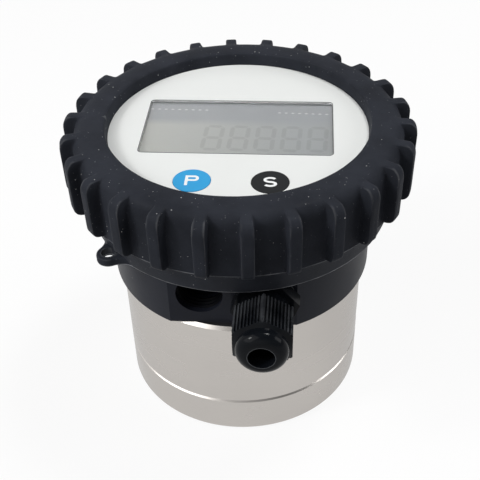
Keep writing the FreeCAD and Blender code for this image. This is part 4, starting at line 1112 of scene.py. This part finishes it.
class FLOWMETER_OT_stage(bpy.types.Operator):
    """Set the floor, the soft light and the camera"""
    bl_idname = "flow_meter.stage"
    bl_label = "Stage"

    def execute(self, context):
        settings = context.scene.flow_meter_stage
        context.scene.view_settings.view_transform = "Standard"
        self.floor(settings)
        self.surround(context.scene, settings)
        for name, place, size, watts in LAMPS:
            self.softbox(name, place, size, getattr(settings, watts))
        self.camera(context.scene, settings)
        return {"FINISHED"}

    def mix_shaders(self, nodes, factor, first, second, output):
        mixed = nodes.add("MixShader", {0: factor, 1: first, 2: second})["Shader"]
        nodes.put(mixed, nodes.tree.nodes[output].inputs["Surface"])

    def floor(self, settings):
        """A white floor that glows where it is seen, so its shadow stays faint; in gloss it is
        painted darker on the right.
        """
        to_objects()
        bpy.ops.mesh.primitive_plane_add(size=FLOOR_SIZE)
        floor = bpy.context.object
        floor.name = "floor"
        finish = Finish("floor_white", FLOOR_GREY, 0.9, specular=0.0)
        path = finish.add("LightPath")
        across = finish.axes(finish.place())["X"]
        # In gloss the floor darkens from left to right: painted shade for its shadow on the right,
        # which the steel mirrors
        level = finish.ramp(
            across, -MIRROR_REACH, MIRROR_REACH, settings.mirror_left, settings.mirror_right_shade)
        direct = finish.math("MAXIMUM", path["Is Camera Ray"], path["Is Transmission Ray"])
        mirrored = finish.times(path["Is Glossy Ray"], level)
        seen = finish.math("MAXIMUM", finish.times(direct, settings.floor), mirrored)
        finish.tint(direct, FLOOR_WHITE)
        plain, glow = finish.shader.outputs["BSDF"], finish.add("Emission")["Emission"]
        self.mix_shaders(finish, seen, plain, glow, "Material Output")
        floor.data.materials.append(finish_of("floor_white"))

    def surround(self, scene, settings):
        """Even light, and a white backdrop that gloss shows darker above and right."""
        scene.world = bpy.data.worlds.new("studio")
        scene.world.use_nodes = True
        nodes = Nodes(scene.world.node_tree)
        path = nodes.add("LightPath")
        seen = nodes.math("MAXIMUM", path["Is Camera Ray"], path["Is Glossy Ray"])
        seen = nodes.math("MAXIMUM", seen, path["Is Transmission Ray"])
        axes = nodes.axes(nodes.add("TexCoord")["Generated"])
        overhead = nodes.ramp(axes["Z"], *CEILING_RAMP, 1.0, settings.ceiling)
        right = nodes.ramp(axes["X"], *RIGHT_RAMP, 1.0, settings.right_side)
        level = nodes.math("MAXIMUM", nodes.times(overhead, right), path["Is Camera Ray"])
        even = nodes.tree.nodes["Background"]
        nodes.put((*WHITE, 1.0), even.inputs["Color"])
        nodes.put(settings.ambient, even.inputs["Strength"])
        inputs = {"Color": (*WHITE, 1.0), "Strength": level}
        backdrop = nodes.add("Background", inputs)["Background"]
        self.mix_shaders(nodes, seen, even.outputs["Background"], backdrop, "World Output")

    def softbox(self, name, place, size, watts):
        bpy.ops.object.light_add(type="AREA", location=place)
        light = bpy.context.object
        light.name = name
        light.data.size = size
        light.data.energy = watts
        light.rotation_euler = (LAMP_AIM - Vector(place)).to_track_quat("-Z", "Y").to_euler()

    def camera(self, scene, settings):
        bpy.ops.object.camera_add()
        camera = bpy.context.object
        camera.name = "photo_camera"
        camera.data.sensor_fit = "HORIZONTAL"
        camera.data.sensor_width = SENSOR_WIDTH
        camera.data.lens = settings.lens
        camera.data.clip_start = CLIP_START
        camera.matrix_world = (
            Matrix.Translation(settings.target)
            @ Matrix.Rotation(settings.azimuth, 4, "Z")
            @ Matrix.Rotation(math.pi / 2 - settings.elevation, 4, "X")
            @ Matrix.Translation((0, 0, settings.distance))
            @ Matrix.Rotation(settings.roll, 4, "Z"))
        scene.camera = camera


class FLOWMETER_PT_sidebar(bpy.types.Panel):
    """Lists the meter's pieces and their sizes"""
    bl_idname = "FLOWMETER_PT_sidebar"
    bl_label = "Flow Meter"
    bl_space_type = "VIEW_3D"
    bl_region_type = "UI"
    bl_category = "Flow Meter"

    def draw(self, context):
        for operator in OPERATORS:
            self.layout.operator(operator.bl_idname)
        for name, group in GROUPS.items():
            box = self.layout.box()
            box.label(text=group.__doc__)
            for value in group.__annotations__:
                box.prop(getattr(context.scene, name), value)


GROUPS = {
    "flow_meter_boot": FlowMeterBoot,
    "flow_meter_display": FlowMeterDisplay,
    "flow_meter_finish": FlowMeterFinish,
    "flow_meter_stage": FlowMeterStage,
}
OPERATORS = (
    FLOWMETER_OT_finishes,
    FLOWMETER_OT_steel_base,
    FLOWMETER_OT_housing,
    FLOWMETER_OT_gland,
    FLOWMETER_OT_rubber_boot,
    FLOWMETER_OT_facia,
    FLOWMETER_OT_keys,
    FLOWMETER_OT_inner_works,
    FLOWMETER_OT_stage,
)
CLASSES = (*GROUPS.values(), *OPERATORS, FLOWMETER_PT_sidebar)


def register():
    for one in CLASSES:
        bpy.utils.register_class(one)
    for name, group in GROUPS.items():
        setattr(bpy.types.Scene, name, bpy.props.PointerProperty(type=group))


def unregister():
    for name in GROUPS:
        delattr(bpy.types.Scene, name)
    for one in reversed(CLASSES):
        bpy.utils.unregister_class(one)


def main():
    register()
    bpy.ops.flow_meter.finishes()
    bpy.ops.flow_meter.steel_base()
    bpy.ops.flow_meter.housing()
    bpy.ops.flow_meter.gland()
    bpy.ops.flow_meter.rubber_boot()
    bpy.ops.flow_meter.facia()
    bpy.ops.flow_meter.keys()
    bpy.ops.flow_meter.inner_works()
    bpy.ops.flow_meter.stage()


if __name__ == "__main__":
    main()
